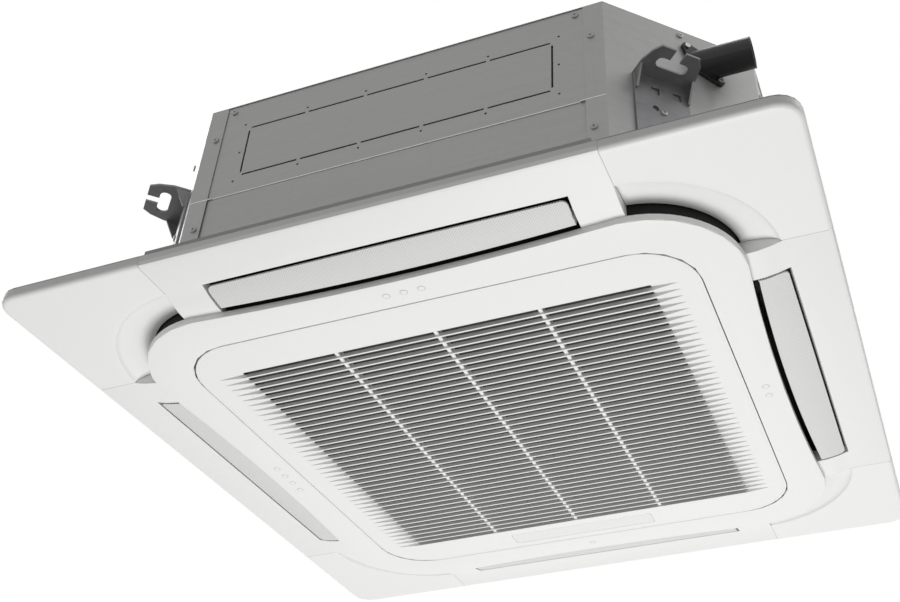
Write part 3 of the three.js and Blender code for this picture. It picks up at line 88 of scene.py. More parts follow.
class CassetteSizes(bpy.types.PropertyGroup):
    panel_half: length("Panel half width", 0.475, "From the centre to the panel's edge")
    panel_corner: length("Panel corner", 0.028, "Radius of the panel's corners")
    edge_round: length("Edge round", 0.006, "Radius along the panel's lower edge")
    underside: length("Underside", -0.014, "Height of the panel's flat underside")
    ring_face: length("Ring face", -0.030, "Height of the inlet ring's face")
    ring_half: length("Ring half width", 0.378, "From the centre to the ring's side near a corner")
    ring_corner: length("Ring corner", 0.116, "Radius of the ring's corners")
    ring_bow: length("Ring bow", 0.010, "How far a side of the ring draws in")
    cove_outer: length("Cove mouth", 0.157, "Outer radius of a corner cover's cove")
    cove_inner: length("Cove root", 0.114, "Inner radius of a corner cover's cove")
    cove_rise: length("Cove rise", 0.010, "How far the cove rises")
    vane_outer: length("Vane edge", 0.416, "From the centre to a vane's outer edge")
    vane_half: length("Vane half length", 0.219, "Half the length of a vane")
    vane_wall: length("Vane wall", 0.0026, "Thickness of a vane")
    hole_pitch: length("Hole pitch", 0.0024, "Spacing of the fine holes in a vane")
    hole_size: length("Hole size", 0.0010, "Width of the fine holes in a vane")
    door_half: length("Door half width", 0.3235, "From the centre to the door's edge")
    door_corner: length("Door corner", 0.072, "Radius of the door's corners")
    slot_pitch: length("Slot pitch", 0.01295, "Spacing of the grille's slots")
    slat: length("Slat", 0.0026, "Width of the slat between two slots")
    screw: length("Screw head", 0.0042, "Radius of a sheet screw's head")
    dot: length("Dot", 0.0042, "Radius of a dot that numbers a vane")
    vane_gap: length("Vane gap", 0.0070, "From the ring to a vane's inner edge")
    hole_corner: length("Door opening corner", 0.0703, "Radius of the opening's corners")
    spangle: length("Spangle", 0.012, "Width of a zinc crystal on the casing")


class CassetteColours(bpy.types.PropertyGroup):
    panel: colour("Panel", "ececeb", "Moulded panel, covers and door")
    vane: colour("Vane", "dcdcdb", "Perforated vanes")
    steel: colour("Casing steel", "a6a6a5", "Galvanised sheet of the casing")
    bracket: colour("Bracket steel", "868688", "Hanger brackets")
    black: colour("Black plastic", "1b1b1c", "Drain outlet, bellmouth and bushes")
    foam: colour("White foam", "e2e2dd", "Liner of the casing")
    foam_dark: colour("Dark foam", "2c2c2d", "Drain pan")
    seal: colour("Ceiling seal", "bcbcba", "Foam strip between the panel and the ceiling")
    dull: colour("Sheet screws", "a4a4a4", "Zinc plated screws of the casing")
    fins: colour("Fins", "b9bcc0", "Aluminium fins of the coil")
    copper: colour("Copper", "b4683a", "Refrigerant pipes")
    brass: colour("Brass", "b8964c", "Flare nuts")
    fan: colour("Fan", "75777a", "Moulded fan wheel")
    motor: colour("Motor", "8c8f92", "Motor can")
    screws: colour("Screws", "c9c9ca", "Screw heads, shaft and pins")
    board: colour("Circuit board", "2e6b46", "Circuit boards")
    net: colour("Filter net", "2d2f31", "Air filter")
    window: colour("Display window", "e9e9e8", "Frosted display window")
    pump: colour("Inner plastic", "e4e4e0", "Pump, float and small motors")
    floor: colour("Floor", "f4f4f2", "Studio floor")


def sizes():
    return bpy.context.scene.cassette_sizes


def colours():
    return bpy.context.scene.cassette_colours


# ---- Shader groups ---------------------------------------------------------------------------
FLOAT, COLOR, VECTOR = "NodeSocketFloat", "NodeSocketColor", "NodeSocketVector"


def new_group(name, inputs, outputs):
    """A shader node group with its sockets; inputs are (name, type, default)."""
    group = bpy.data.node_groups.new(name, "ShaderNodeTree")
    for label, kind, default in inputs:
        socket = group.interface.new_socket(name=label, in_out="INPUT", socket_type=kind)
        socket.default_value = default
    for label, kind in outputs:
        group.interface.new_socket(name=label, in_out="OUTPUT", socket_type=kind)
    return group, Net(group)


class Net:
    """Short hand for placing and linking nodes in one tree."""

    def __init__(self, tree):
        self.tree = tree

    def add(self, kind, **values):
        node = self.tree.nodes.new(kind)
        for key, value in values.items():
            setattr(node, key, value)
        return node

    def put(self, socket, source):
        if isinstance(source, bpy.types.NodeSocket):
            self.tree.links.new(source, socket)
        else:
            socket.default_value = source

    def maths(self, operation, a, b=0.0, clamp=False):
        node = self.add("ShaderNodeMath", operation=operation, use_clamp=clamp)
        self.put(node.inputs[0], a)
        self.put(node.inputs[1], b)
        return node.outputs[0]

    def mix(self, factor, a, b, blend="MIX"):
        node = self.add("ShaderNodeMix", data_type="RGBA", blend_type=blend)
        self.put(node.inputs[0], factor)
        self.put(node.inputs[6], a)
        self.put(node.inputs[7], b)
        return node.outputs[2]

    def spread(self, value, low, high):
        node = self.add("ShaderNodeMapRange")
        self.put(node.inputs[0], value)
        self.put(node.inputs[3], low)
        self.put(node.inputs[4], high)
        return node.outputs[0]

    def place(self):
        return self.add("ShaderNodeTexCoord").outputs["Object"]

    def noise(self, scale, detail=2.0, where=None):
        node = self.add("ShaderNodeTexNoise")
        self.put(node.inputs["Vector"], where or self.place())
        self.put(node.inputs["Scale"], scale)
        node.inputs["Detail"].default_value = detail
        return node.outputs[0]


def grain_group():
    """Fine moulded or rolled grain with a slow drift of tone."""
    group, net = new_group(
        "surface_grain",
        [
            ("Color", COLOR, (0.8, 0.8, 0.8, 1)),
            ("Fine scale", FLOAT, 900.0),
            ("Drift", FLOAT, 0.03),
            ("Roughness", FLOAT, 0.45),
            ("Spread", FLOAT, 0.08),
        ],
        [("Color", COLOR), ("Roughness", FLOAT), ("Height", FLOAT)],
    )
    start, end = net.add("NodeGroupInput"), net.add("NodeGroupOutput")
    fine = net.noise(start.outputs["Fine scale"], 3.0)
    slow = net.noise(7.0, 3.0)
    tone = net.maths("MULTIPLY", net.maths("SUBTRACT", slow, 0.5), start.outputs["Drift"])
    fine_drift = net.maths("MULTIPLY", start.outputs["Drift"], 0.8)
    speck = net.maths("MULTIPLY", net.maths("SUBTRACT", fine, 0.5), fine_drift)
    shade = net.maths("ADD", net.maths("ADD", tone, speck), 1.0)
    vector = net.add("ShaderNodeVectorMath", operation="SCALE")
    net.put(vector.inputs[0], start.outputs["Color"])
    net.put(vector.inputs["Scale"], shade)
    rough = net.maths("MULTIPLY", net.maths("SUBTRACT", fine, 0.5), start.outputs["Spread"])
    net.put(end.inputs["Color"], vector.outputs[0])
    rough = net.maths("ADD", rough, start.outputs["Roughness"], clamp=True)
    net.put(end.inputs["Roughness"], rough)
    net.put(end.inputs["Height"], fine)
    return group


def edge_group():
    """A mask along edges, from the angle between the bevelled and the true normal, for scuffed
    edges and for painted edge highlights.
    """
    group, net = new_group(
        "edge_wear",
        [("Radius", FLOAT, 0.001), ("Strength", FLOAT, 4.0), ("Patches", FLOAT, 60.0)],
        [("Mask", FLOAT), ("Normal", VECTOR)],
    )
    start, end = net.add("NodeGroupInput"), net.add("NodeGroupOutput")
    bevel = net.add("ShaderNodeBevel", samples=4)
    net.put(bevel.inputs["Radius"], start.outputs["Radius"])
    true = net.add("ShaderNodeNewGeometry").outputs["Normal"]
    dot = net.add("ShaderNodeVectorMath", operation="DOT_PRODUCT")
    net.put(dot.inputs[0], bevel.outputs[0])
    net.put(dot.inputs[1], true)
    turn = net.maths("SUBTRACT", 1.0, dot.outputs["Value"])
    scuff_and_highlight_edge = net.maths("MULTIPLY", turn, start.outputs["Strength"])
    patchy = net.maths("MULTIPLY", scuff_and_highlight_edge, net.noise(start.outputs["Patches"]))
    net.put(end.inputs["Mask"], net.maths("MULTIPLY", patchy, 1.0, clamp=True))
    net.put(end.inputs["Normal"], bevel.outputs[0])
    return group


def dust_group():
    """Dust that settles on surfaces that look up."""
    group, net = new_group(
        "settled_dust",
        [
            ("Color", COLOR, (0.5, 0.5, 0.5, 1)),
            ("Dust", COLOR, (0.55, 0.53, 0.5, 1)),
            ("Amount", FLOAT, 0.25),
        ],
        [("Color", COLOR), ("Mask", FLOAT)],
    )
    start, end = net.add("NodeGroupInput"), net.add("NodeGroupOutput")
    part = net.add("ShaderNodeSeparateXYZ")
    net.put(part.inputs[0], net.add("ShaderNodeNewGeometry").outputs["Normal"])
    upward = net.maths("MAXIMUM", part.outputs[2], 0.0)
    cloud = net.spread(net.noise(14.0, 5.0), 0.2, 1.0)
    lying = net.maths("MULTIPLY", upward, cloud)
    mask = net.maths("MULTIPLY", lying, start.outputs["Amount"], clamp=True)
    net.put(end.inputs["Mask"], mask)
    net.put(end.inputs["Color"], net.mix(mask, start.outputs["Color"], start.outputs["Dust"]))
    return group


def spangle_group():
    """Zinc crystals on galvanised sheet, with faint rolling streaks."""
    group, net = new_group(
        "zinc_spangle",
        [
            ("Color", COLOR, (0.5, 0.5, 0.5, 1)),
            ("Crystal", FLOAT, 0.012),
            ("Contrast", FLOAT, 0.1),
        ],
        [("Color", COLOR), ("Value", FLOAT)],
    )
    start, end = net.add("NodeGroupInput"), net.add("NodeGroupOutput")
    bend = net.add("ShaderNodeVectorMath", operation="ADD")
    net.put(bend.inputs[0], net.place())
    jitter = net.add("ShaderNodeTexNoise")
    net.put(jitter.inputs["Vector"], net.place())
    net.put(jitter.inputs["Scale"], 40.0)
    soften = net.add("ShaderNodeVectorMath", operation="SCALE")
    net.put(soften.inputs[0], jitter.outputs["Color"])
    net.put(soften.inputs["Scale"], 0.012)
    net.put(bend.inputs[1], soften.outputs[0])
    cells = net.add("ShaderNodeTexVoronoi")
    net.put(cells.inputs["Vector"], bend.outputs[0])
    net.put(cells.inputs["Scale"], net.maths("DIVIDE", 1.0, start.outputs["Crystal"]))
    value = net.add("ShaderNodeSeparateColor")
    net.put(value.inputs[0], cells.outputs["Color"])
    streaks = net.add("ShaderNodeMapping")
    net.put(streaks.inputs["Vector"], net.place())
    streaks.inputs["Scale"].default_value = (3.0, 3.0, 160.0)
    streak = net.noise(2.0, 3.0, streaks.outputs[0])
    crystal = net.maths("MULTIPLY", value.outputs[0], 0.6)
    both = net.maths("ADD", crystal, net.maths("MULTIPLY", streak, 0.8))
    middle = 0.7  # mean of both patterns together
    offset = net.maths("MULTIPLY", net.maths("SUBTRACT", both, middle), start.outputs["Contrast"])
    shade = net.maths("ADD", offset, 1.0)
    scaled = net.add("ShaderNodeVectorMath", operation="SCALE")
    net.put(scaled.inputs[0], start.outputs["Color"])
    net.put(scaled.inputs["Scale"], shade)
    net.put(end.inputs["Color"], scaled.outputs[0])
    net.put(end.inputs["Value"], value.outputs[0])
    return group


def holes_group():
    """Rows of fine round holes, set diagonally, seen along Z."""
    group, net = new_group(
        "fine_holes",
        [("Pitch", FLOAT, 0.0032), ("Width", FLOAT, 0.0014)],
        [("Mask", FLOAT)],
    )
    start, end = net.add("NodeGroupInput"), net.add("NodeGroupOutput")
    turn = net.add("ShaderNodeMapping")
    net.put(turn.inputs["Vector"], net.place())
    turn.inputs["Rotation"].default_value = (0, 0, math.pi / 4)
    part = net.add("ShaderNodeSeparateXYZ")
    net.put(part.inputs[0], turn.outputs[0])
    offsets = []
    for axis in (0, 1):
        cells = net.maths("DIVIDE", part.outputs[axis], start.outputs["Pitch"])
        cell = net.maths("FRACT", net.maths("ADD", cells, 100.0))  # keeps the value above zero
        offset = net.maths("MULTIPLY", net.maths("SUBTRACT", cell, 0.5), start.outputs["Pitch"])
        offsets.append(net.maths("MULTIPLY", offset, offset))
    away = net.maths("SQRT", net.maths("ADD", *offsets))
    ratio = net.maths("DIVIDE", away, net.maths("MULTIPLY", start.outputs["Width"], 0.5))
    edge = net.maths("SUBTRACT", 1.25, ratio)
    net.put(end.inputs["Mask"], net.maths("MULTIPLY", edge, 3.0, clamp=True))
    return group


GROUPS = {}


def shader_groups():
    GROUPS["grain"] = grain_group()
    GROUPS["edge"] = edge_group()
    GROUPS["dust"] = dust_group()
    GROUPS["spangle"] = spangle_group()
    GROUPS["holes"] = holes_group()


# ---- Materials -------------------------------------------------------------------------------
FINISHES = {}


def bare(name):
    """A material with one Principled shader and nothing else."""
    material = bpy.data.materials.new(name)
    material.use_nodes = True
    net = Net(material.node_tree)
    net.tree.nodes.clear()
    shader = net.add("ShaderNodeBsdfPrincipled")
    net.put(net.add("ShaderNodeOutputMaterial").inputs["Surface"], shader.outputs[0])
    return material, net, shader


def use(net, group, **values):
    node = net.add("ShaderNodeGroup", node_tree=GROUPS[group])
    for key, value in values.items():
        net.put(node.inputs[key.replace("_", " ")], value)
    return node


def cover_with(net, shader, tone, rough, grain, edge, bump):
    """Links a surface's colour, roughness and fine relief to its shader."""
    lift = net.add("ShaderNodeBump")
    lift.inputs["Strength"].default_value = 1.0
    lift.inputs["Distance"].default_value = bump
    net.put(lift.inputs["Height"], grain.outputs["Height"])
    net.put(lift.inputs["Normal"], edge.outputs["Normal"])
    net.put(shader.inputs["Base Color"], tone)
    net.put(shader.inputs["Roughness"], rough)
    net.put(shader.inputs["Normal"], lift.outputs[0])


def scaled(tint, by):
    return tuple(min(1, v * by) for v in tint)


def moulded(name, tint, rough, fine, bump, drift=0.03, metal=0.0, scuff_and_highlight_tint=None, dusty=0.0, ior=1.46):
    """Plastic, paint, foam or metal with a fine grain, softened edges, edges tinted for scuffs and
    painted highlight, and dust.
    """
    material, net, shader = bare(name)
    grain = use(net, "grain", Color=(*tint, 1), Fine_scale=fine, Drift=drift, Roughness=rough)
    edge = use(net, "edge", Radius=0.0008, Strength=5.0)
    tone = grain.outputs["Color"]
    if scuff_and_highlight_tint:
        tone = net.mix(edge.outputs["Mask"], tone, (*scuff_and_highlight_tint, 1))
    if dusty:
        tone = use(net, "dust", Color=tone, Amount=dusty).outputs["Color"]
    cover_with(net, shader, tone, grain.outputs["Roughness"], grain, edge, bump)
    shader.inputs["Metallic"].default_value = metal
    shader.inputs["IOR"].default_value = ior
    FINISHES[name] = material
    return material, net, shader


def galvanised(name, tint, contrast, metal):
    material, net, shader = bare(name)
    zinc = use(net, "spangle", Color=(*tint, 1), Crystal=sizes().spangle, Contrast=contrast)
    tone = zinc.outputs["Color"]
    grain = use(net, "grain", Color=tone, Fine_scale=700.0, Drift=0.05, Roughness=0.46)
    edge = use(net, "edge", Radius=0.0007, Strength=3.0)
    # The sheet's edges are painted brighter: a painted highlight along them.
    bright = scaled(tint, 1.5)
    tone = net.mix(edge.outputs["Mask"], grain.outputs["Color"], (*bright, 1))
    tone = use(net, "dust", Color=tone, Amount=0.3).outputs["Color"]
    duller = net.maths("MULTIPLY", zinc.outputs["Value"], 0.1)
    rough = net.maths("ADD", grain.outputs["Roughness"], duller, clamp=True)
    cover_with(net, shader, tone, rough, grain, edge, 0.00002)
    shader.inputs["Metallic"].default_value = metal
    FINISHES[name] = material


def perforated(name, tint):
    material, net, shader = moulded(name, tint, 0.48, 900.0, 0.00001)
    holes = use(net, "holes", Pitch=sizes().hole_pitch, Width=sizes().hole_size)
    tone = shader.inputs["Base Color"].links[0].from_socket
    # The holes are painted darker: painted shade seen through them.
    painted_gap_shade = scaled(tint, 0.72)
    net.put(shader.inputs["Base Color"], net.mix(holes.outputs["Mask"], tone, (*painted_gap_shade, 1)))
    second = net.add("ShaderNodeBump", invert=True)
    second.inputs["Distance"].default_value = 0.00012
    net.put(second.inputs["Height"], holes.outputs["Mask"])
    net.put(second.inputs["Normal"], shader.inputs["Normal"].links[0].from_socket)
    net.put(shader.inputs["Normal"], second.outputs[0])


def finned(name, tint):
    """Fins stand upright in the coil, so their gaps show as fine vertical lines, painted dark as
    painted shade between the fins.
    """
    material, net, shader = moulded(name, tint, 0.4, 300.0, 0.00001, metal=0.7)
    part = net.add("ShaderNodeSeparateXYZ")
    net.put(part.inputs[0], net.place())
    along = net.maths("ADD", part.outputs[0], part.outputs[1])
    wave = net.maths("SINE", net.maths("MULTIPLY", along, 2 * math.pi / 0.0018))
    mask = net.maths("MULTIPLY", net.maths("ADD", wave, 0.6), 0.7, clamp=True)
    tone = shader.inputs["Base Color"].links[0].from_socket
    painted_gap_shade = scaled(tint, 0.25)
    net.put(shader.inputs["Base Color"], net.mix(mask, (*painted_gap_shade, 1), tone))


def netted(name, tint):
    """A woven net: two sets of threads, with painted shade in the gaps between them."""
    material, net, shader = moulded(name, tint, 0.7, 900.0, 0.00001)
    part = net.add("ShaderNodeSeparateXYZ")
    net.put(part.inputs[0], net.place())
    threads = []
    for axis in (0, 1):
        wave = net.maths("SINE", net.maths("MULTIPLY", part.outputs[axis], 2 * math.pi / 0.0016))
        threads.append(net.maths("GREATER_THAN", wave, 0.3))
    mask = net.maths("MAXIMUM", *threads)
    tone = shader.inputs["Base Color"].links[0].from_socket
    net.put(shader.inputs["Base Color"], net.mix(mask, (0.01, 0.01, 0.01, 1), tone))


def make_finishes():
    tint = colours()
    # The panel's edges are painted a little lighter: a painted highlight.
    white = scaled(tint.panel, 1.05)
    moulded("panel_white", tint.panel, 0.42, 900.0, 0.000012, drift=0.012, scuff_and_highlight_tint=white)
    perforated("vane_grey", tint.vane)
    galvanised("sheet_steel", tint.steel, 0.14, 0.55)
    # A much lighter copy of the casing steel: painted highlight along the sheets' lower edges.
    galvanised("cut_edge", scaled(tint.steel, 2.2), 0.1, 0.5)
    galvanised("bracket_steel", tint.bracket, 0.25, 0.6)
    scuff_and_highlight_edge = (0.06, 0.06, 0.06)
    moulded("black_plastic", tint.black, 0.5, 700.0, 0.00003, drift=0.2, scuff_and_highlight_tint=scuff_and_highlight_edge, dusty=0.15)
    moulded("foam_white", tint.foam, 0.9, 350.0, 0.0004, drift=0.1)
    moulded("foam_black", tint.foam_dark, 0.9, 350.0, 0.0004, drift=0.3)
    finned("coil_fins", tint.fins)
    moulded("copper_pipe", tint.copper, 0.32, 200.0, 0.00002, drift=0.3, metal=0.95)
    nut = tint.brass
    moulded("brass_nut", nut, 0.3, 500.0, 0.00001, drift=0.15, metal=0.95, scuff_and_highlight_tint=nut)
    moulded("fan_plastic", tint.fan, 0.5, 800.0, 0.00002, drift=0.06)
    moulded("motor_steel", tint.motor, 0.38, 500.0, 0.00002, drift=0.1, metal=0.8)
    bright = tint.screws
    moulded("screw_steel", bright, 0.28, 600.0, 0.00001, drift=0.12, metal=0.85, scuff_and_highlight_tint=bright)
    moulded("board_green", tint.board, 0.45, 250.0, 0.00006, drift=0.5)
    netted("filter_net", tint.net)
    moulded("seal_foam", tint.seal, 0.85, 400.0, 0.0002, drift=0.06)
    scuff_and_highlight_edge = tint.steel
    moulded("screw_dull", tint.dull, 0.42, 600.0, 0.00001, drift=0.1, metal=0.5, scuff_and_highlight_tint=scuff_and_highlight_edge)
    # A darker copy of the black plastic: painted shade for the dark sheets in the duct, the gaps
    # and the knock-out slits.
    moulded("outlet_black", scaled(tint.black, 0.45), 0.8, 500.0, 0.00005, drift=0.3)
    # A darker copy of the panel white: painted shade in the cover seams and round the dots.
    moulded("seam_grey", scaled(tint.panel, 0.62), 0.5, 900.0, 0.000012)
    moulded("display_smoke", tint.window, 0.2, 900.0, 0.000002, drift=0.01)
    moulded("inner_white", tint.pump, 0.5, 700.0, 0.00002, drift=0.04)


def build_finishes():
    shader_groups()
    make_finishes()


# ---- Mesh helpers ----------------------------------------------------------------------------
def new_object(name, mesh):
    thing = bpy.data.objects.new(name, mesh)
    bpy.context.scene.collection.objects.link(thing)
    return thing


def from_bmesh(name, bm, angle=30.0, smooth=True):
    mesh = bpy.data.meshes.new(name)
    bm.to_mesh(mesh)
    bm.free()
    if smooth:
        mesh.shade_smooth()
        mesh.set_sharp_from_angle(angle=math.radians(angle))
    return new_object(name, mesh)


def bevel(thing, width, segments=2, angle=35.0):
    soft = thing.modifiers.new("soft_edges", "BEVEL")
    soft.width = width
    soft.segments = segments
    soft.limit_method = "ANGLE"
    soft.angle_limit = math.radians(angle)
    soft.use_clamp_overlap = True
    soft.harden_normals = True
    return thing


def settle(thing, finish, body, nodes=()):
    """Gives a piece its material and its body, and hides the nodes it stands for."""
    thing.data.materials.clear()
    thing.data.materials.append(FINISHES[finish])
    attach(thing, body)
    if nodes:
        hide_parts(*nodes)
    return thing


def dressed(node, finish, body="unit", width=0.0004, segments=2):
    """A clean copy of a frame node with softened edges, which stands for it."""
    bm = bmesh.new()
    bm.from_mesh(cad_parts[node].data)
    bmesh.ops.remove_doubles(bm, verts=bm.verts, dist=WELD)
    bmesh.ops.dissolve_limit(bm, angle_limit=math.radians(0.4), verts=bm.verts, edges=bm.edges)
    thing = from_bmesh(node + "_dressed", bm)
    if width:
        bevel(thing, width, segments)
    return settle(thing, finish, body, (node,))


def loft(bm, rows, around=True):
    """Quads between rows of points that match one to one."""
    rings = [[bm.verts.new(p) for p in row] for row in rows]
    for a, b in zip(rings, rings[1:]):
        count = len(a)
        for i in range(count if around else count - 1):
            j = (i + 1) % count
            bm.faces.new((a[i], a[j], b[j], b[i]))
    return rings


def tidy_faces(bm):
    bmesh.ops.remove_doubles(bm, verts=bm.verts, dist=WELD)
    bmesh.ops.recalc_face_normals(bm, faces=bm.faces)


def face_down(bm):
    """Turns an open sheet's faces so that most of them look down."""
    if sum(f.normal.z * f.calc_area() for f in bm.faces) > 0:
        bmesh.ops.reverse_faces(bm, faces=bm.faces)


def thicken(thing, thickness):
    """Gives an open sheet its wall, behind the side its faces look to."""
    wall = thing.modifiers.new("wall", "SOLIDIFY")
    wall.thickness = thickness
    wall.offset = -1.0


def quarters(points):
    loop = []
    for c, s in ((1, 0), (0, 1), (-1, 0), (0, -1)):
        loop += [(c * x - s * y, s * x + c * y) for x, y in points]
    return loop


def ring_loop(offset, side_steps=24, corner_steps=16):
    """Outline of the inlet ring: round corners and sides that bow inwards."""
    size = sizes()
    reach = size.ring_half - size.ring_corner
    quarter = []
    for i in range(corner_steps + 1):
        a = QUARTER * i / corner_steps
        r = size.ring_corner + offset
        quarter.append((reach + r * math.cos(a), reach + r * math.sin(a)))
    for i in range(1, side_steps):
        along = reach * (1 - 2 * i / side_steps)
        bow = size.ring_bow * (1 - (along / reach) ** 2)
        quarter.append((along, size.ring_half + offset - bow))
    return quarters(quarter)


def square_loop(half, radius, side_steps=24, corner_steps=16):
    """Rounded square whose points match those of ring_loop."""
    reach = half - radius
    quarter = []
    for i in range(corner_steps + 1):
        a = QUARTER * i / corner_steps
        quarter.append((reach + radius * math.cos(a), reach + radius * math.sin(a)))
    for i in range(1, side_steps):
        quarter.append((reach * (1 - 2 * i / side_steps), half))
    return quarters(quarter)


def at(loop, z):
    return [(x, y, z) for x, y in loop]


def dip(u):
    """How far a vane dips below the flat underside, at a distance u from the axis."""
    deepest = 0.008
    inner = sizes().ring_half - 0.004
    t = min(1, max(0, (u - inner) / (OUTLET_OUTER - inner)))
    return deepest * (1 - t * t)


def add_box(bm, low, high):
    made = bmesh.ops.create_cube(bm, size=1.0)["verts"]
    for v in made:
        v.co = Vector([(low[k] + high[k]) / 2 + v.co[k] * (high[k] - low[k]) for k in range(3)])


def add_rod(bm, start, end, radius, segments=24):
    axis = Vector(end) - Vector(start)
    turn = axis.to_track_quat("Z", "Y").to_matrix().to_4x4()
    middle = Matrix.Translation((Vector(start) + Vector(end)) / 2)
    ends = {"radius1": radius, "radius2": radius, "depth": axis.length}
    bmesh.ops.create_cone(bm, cap_ends=True, segments=segments, matrix=middle @ turn, **ends)


def turn_to(bm, angle, verts=None):
    """Turns what was made for the right side, or the far right corner, to its own place."""
    turn = Matrix.Rotation(angle, 4, "Z")
    bmesh.ops.transform(bm, matrix=turn, verts=bm.verts if verts is None else verts)


def circle(radius, z, segments):
    angles = [2 * math.pi * i / segments for i in range(segments)]
    return [(radius * math.cos(a), radius * math.sin(a), z) for a in angles]


def turned(name, rings, angle):
    """A closed shape through rings of points, capped at both ends."""
    bm = bmesh.new()
    made = loft(bm, rings)
    bm.faces.new(made[-1])
    bm.faces.new(list(reversed(made[0])))
    tidy_faces(bm)
    return from_bmesh(name, bm, angle)


def collar(name, rows, finish, body="unit"):
    """A closed loop lofted through rows whose last is the first, such as the inlet ring or a dark
    band of painted shade.
    """
    bm = bmesh.new()
    loft(bm, rows)
    tidy_faces(bm)
    return settle(from_bmesh(name, bm, 40.0), finish, body)


def box_rows(low, high, inner, outer):
    """Corners, as (offset, height), of a band's cross-section, back to the first."""
    return [(outer, low), (outer, high), (inner, high), (inner, low), (outer, low)]


# ---- Panel -----------------------------------------------------------------------------------
def build_ring():
    """The inlet ring with its rounded lip, lofted over the frame's ring."""
    size = sizes()
    skin = 0.0002  # how far it stands off the frame's ring
    side_height, plate, tucked = 0.0084, 0.0034, -0.0024
    lip, inner = 0.0026, 0.0012  # radii of the outer and inner edges
    face = size.ring_face - skin
    rows = [at(ring_loop(tucked), face + side_height), at(ring_loop(skin), face + side_height)]
    for i in range(7):
        a = QUARTER * i / 6
        rows.append(at(ring_loop(skin - lip * (1 - math.cos(a))), face + lip * (1 - math.sin(a))))
    half = size.door_half + DOOR_GAP - 2 * skin
    corner = size.hole_corner - 2.5 * skin
    for i in range(5):
        a = QUARTER * i / 4
        out = inner * (1 - math.sin(a))
        rows.append(at(square_loop(half + out, corner + out), face + inner * (1 - math.cos(a))))
    rows.append(at(square_loop(half, corner), face + plate))
    rows.append(at(ring_loop(tucked), face + plate))
    rows.append(rows[0])
    collar("inlet_ring", rows, "panel_white")


def build_dots():
    """Raised dots that number the vanes, set by Geometry Nodes on points."""
    size = sizes()
    from_axis, spacing = 0.347, 0.022
    points = []
    for side, count in (("far", 1), ("right", 2), ("near", 3), ("left", 4)):
        for k in range(count):
            along = (k - (count - 1) / 2) * spacing
            spot = Vector((from_axis, along, size.ring_face - 0.0001))
            spot.rotate(Matrix.Rotation(SIDE_TURN[side], 3, "Z"))
            points.append((spot, Vector((0, 0, -1))))
    dome_rows = [(1.0, 0.5), (0.93, 0.85), (0.8, 1.0), (0.3, 0.9)]
    scatter("ring_dots", points, dome(dome_rows, size.dot, 0.0004), "panel_white", "unit")
    # A grey ring under each dot is a painted shadow round it.
    shadow_ring_rows = [(1.0, 0.2), (0.5, 0.2)]
    shadow_ring = dome(shadow_ring_rows, size.dot + 0.0006, 0.0007)
    scatter("dot_shadows", points, shadow_ring, "seam_grey", "unit")


def build_painted_duct_shade():
    """Painted shade in the outlet duct: a dark sheet seen between the ring and the vanes and coves.
    """
    section = box_rows(-0.0268, -0.0032, -0.0080, -0.0056)
    rows = [at(ring_loop(offset), z) for offset, z in section]
    collar("duct_lining", rows, "outlet_black")


def build_gaps():
    """Painted shade in the narrow gaps: dark strips round the door, and beside the corner covers.
    """
    size = sizes()
    half, corner = size.door_half + 0.0013, size.hole_corner - 0.0002
    section = box_rows(-0.0291, -0.0262, -0.0003, 0.0)
    rows = [at(square_loop(half + offset, corner + offset), z) for offset, z in section]
    collar("door_gap_lining", rows, "outlet_black")
    bm = bmesh.new()
    low, high = size.underside - 0.00004, size.underside + 0.0005
    start, end = 0.4185, 0.4685  # from the cove's mouth to the rim's round
    for side in SIDES:
        first = len(bm.verts)
        for sign in (-1, 1):
            middle = sign * (SEAM_AT - 0.0001)
            add_box(bm, (start, middle - 0.0003, low), (end, middle + 0.0003, high))
        bm.verts.ensure_lookup_table()
        turn_to(bm, SIDE_TURN[side], bm.verts[first:])
    settle(from_bmesh("cover_seams", bm), "seam_grey", "unit")


def dome(rows, radius, height, segments=16):
    """A small button: rows of (share of radius, share of height)."""
    rings = [circle(radius * r, height * h, segments) for r, h in [(1.0, -0.6)] + rows]
    return turned("button_source", rings, 50.0)


def screw_head(radius, height, segments=24):
    """A pan head with a cross recess."""
    rows = [(1.0, -0.25), (1.0, 0.35), (0.95, 0.62), (0.82, 0.84), (0.62, 0.96), (0.5, 1.0)]
    rings = [circle(radius * r, height * h, segments) for r, h in rows]
    cross = []
    for i in range(segments):
        a = 2 * math.pi * i / segments
        arm = abs(math.cos(2 * a)) ** 2
        r = radius * (0.16 + 0.32 * arm)
        cross.append((r * math.cos(a), r * math.sin(a), height))
    floor = [(x * 0.6, y * 0.6, height * 0.25) for x, y, _ in cross]
    return turned("screw_source", rings + [cross, floor], 35.0)


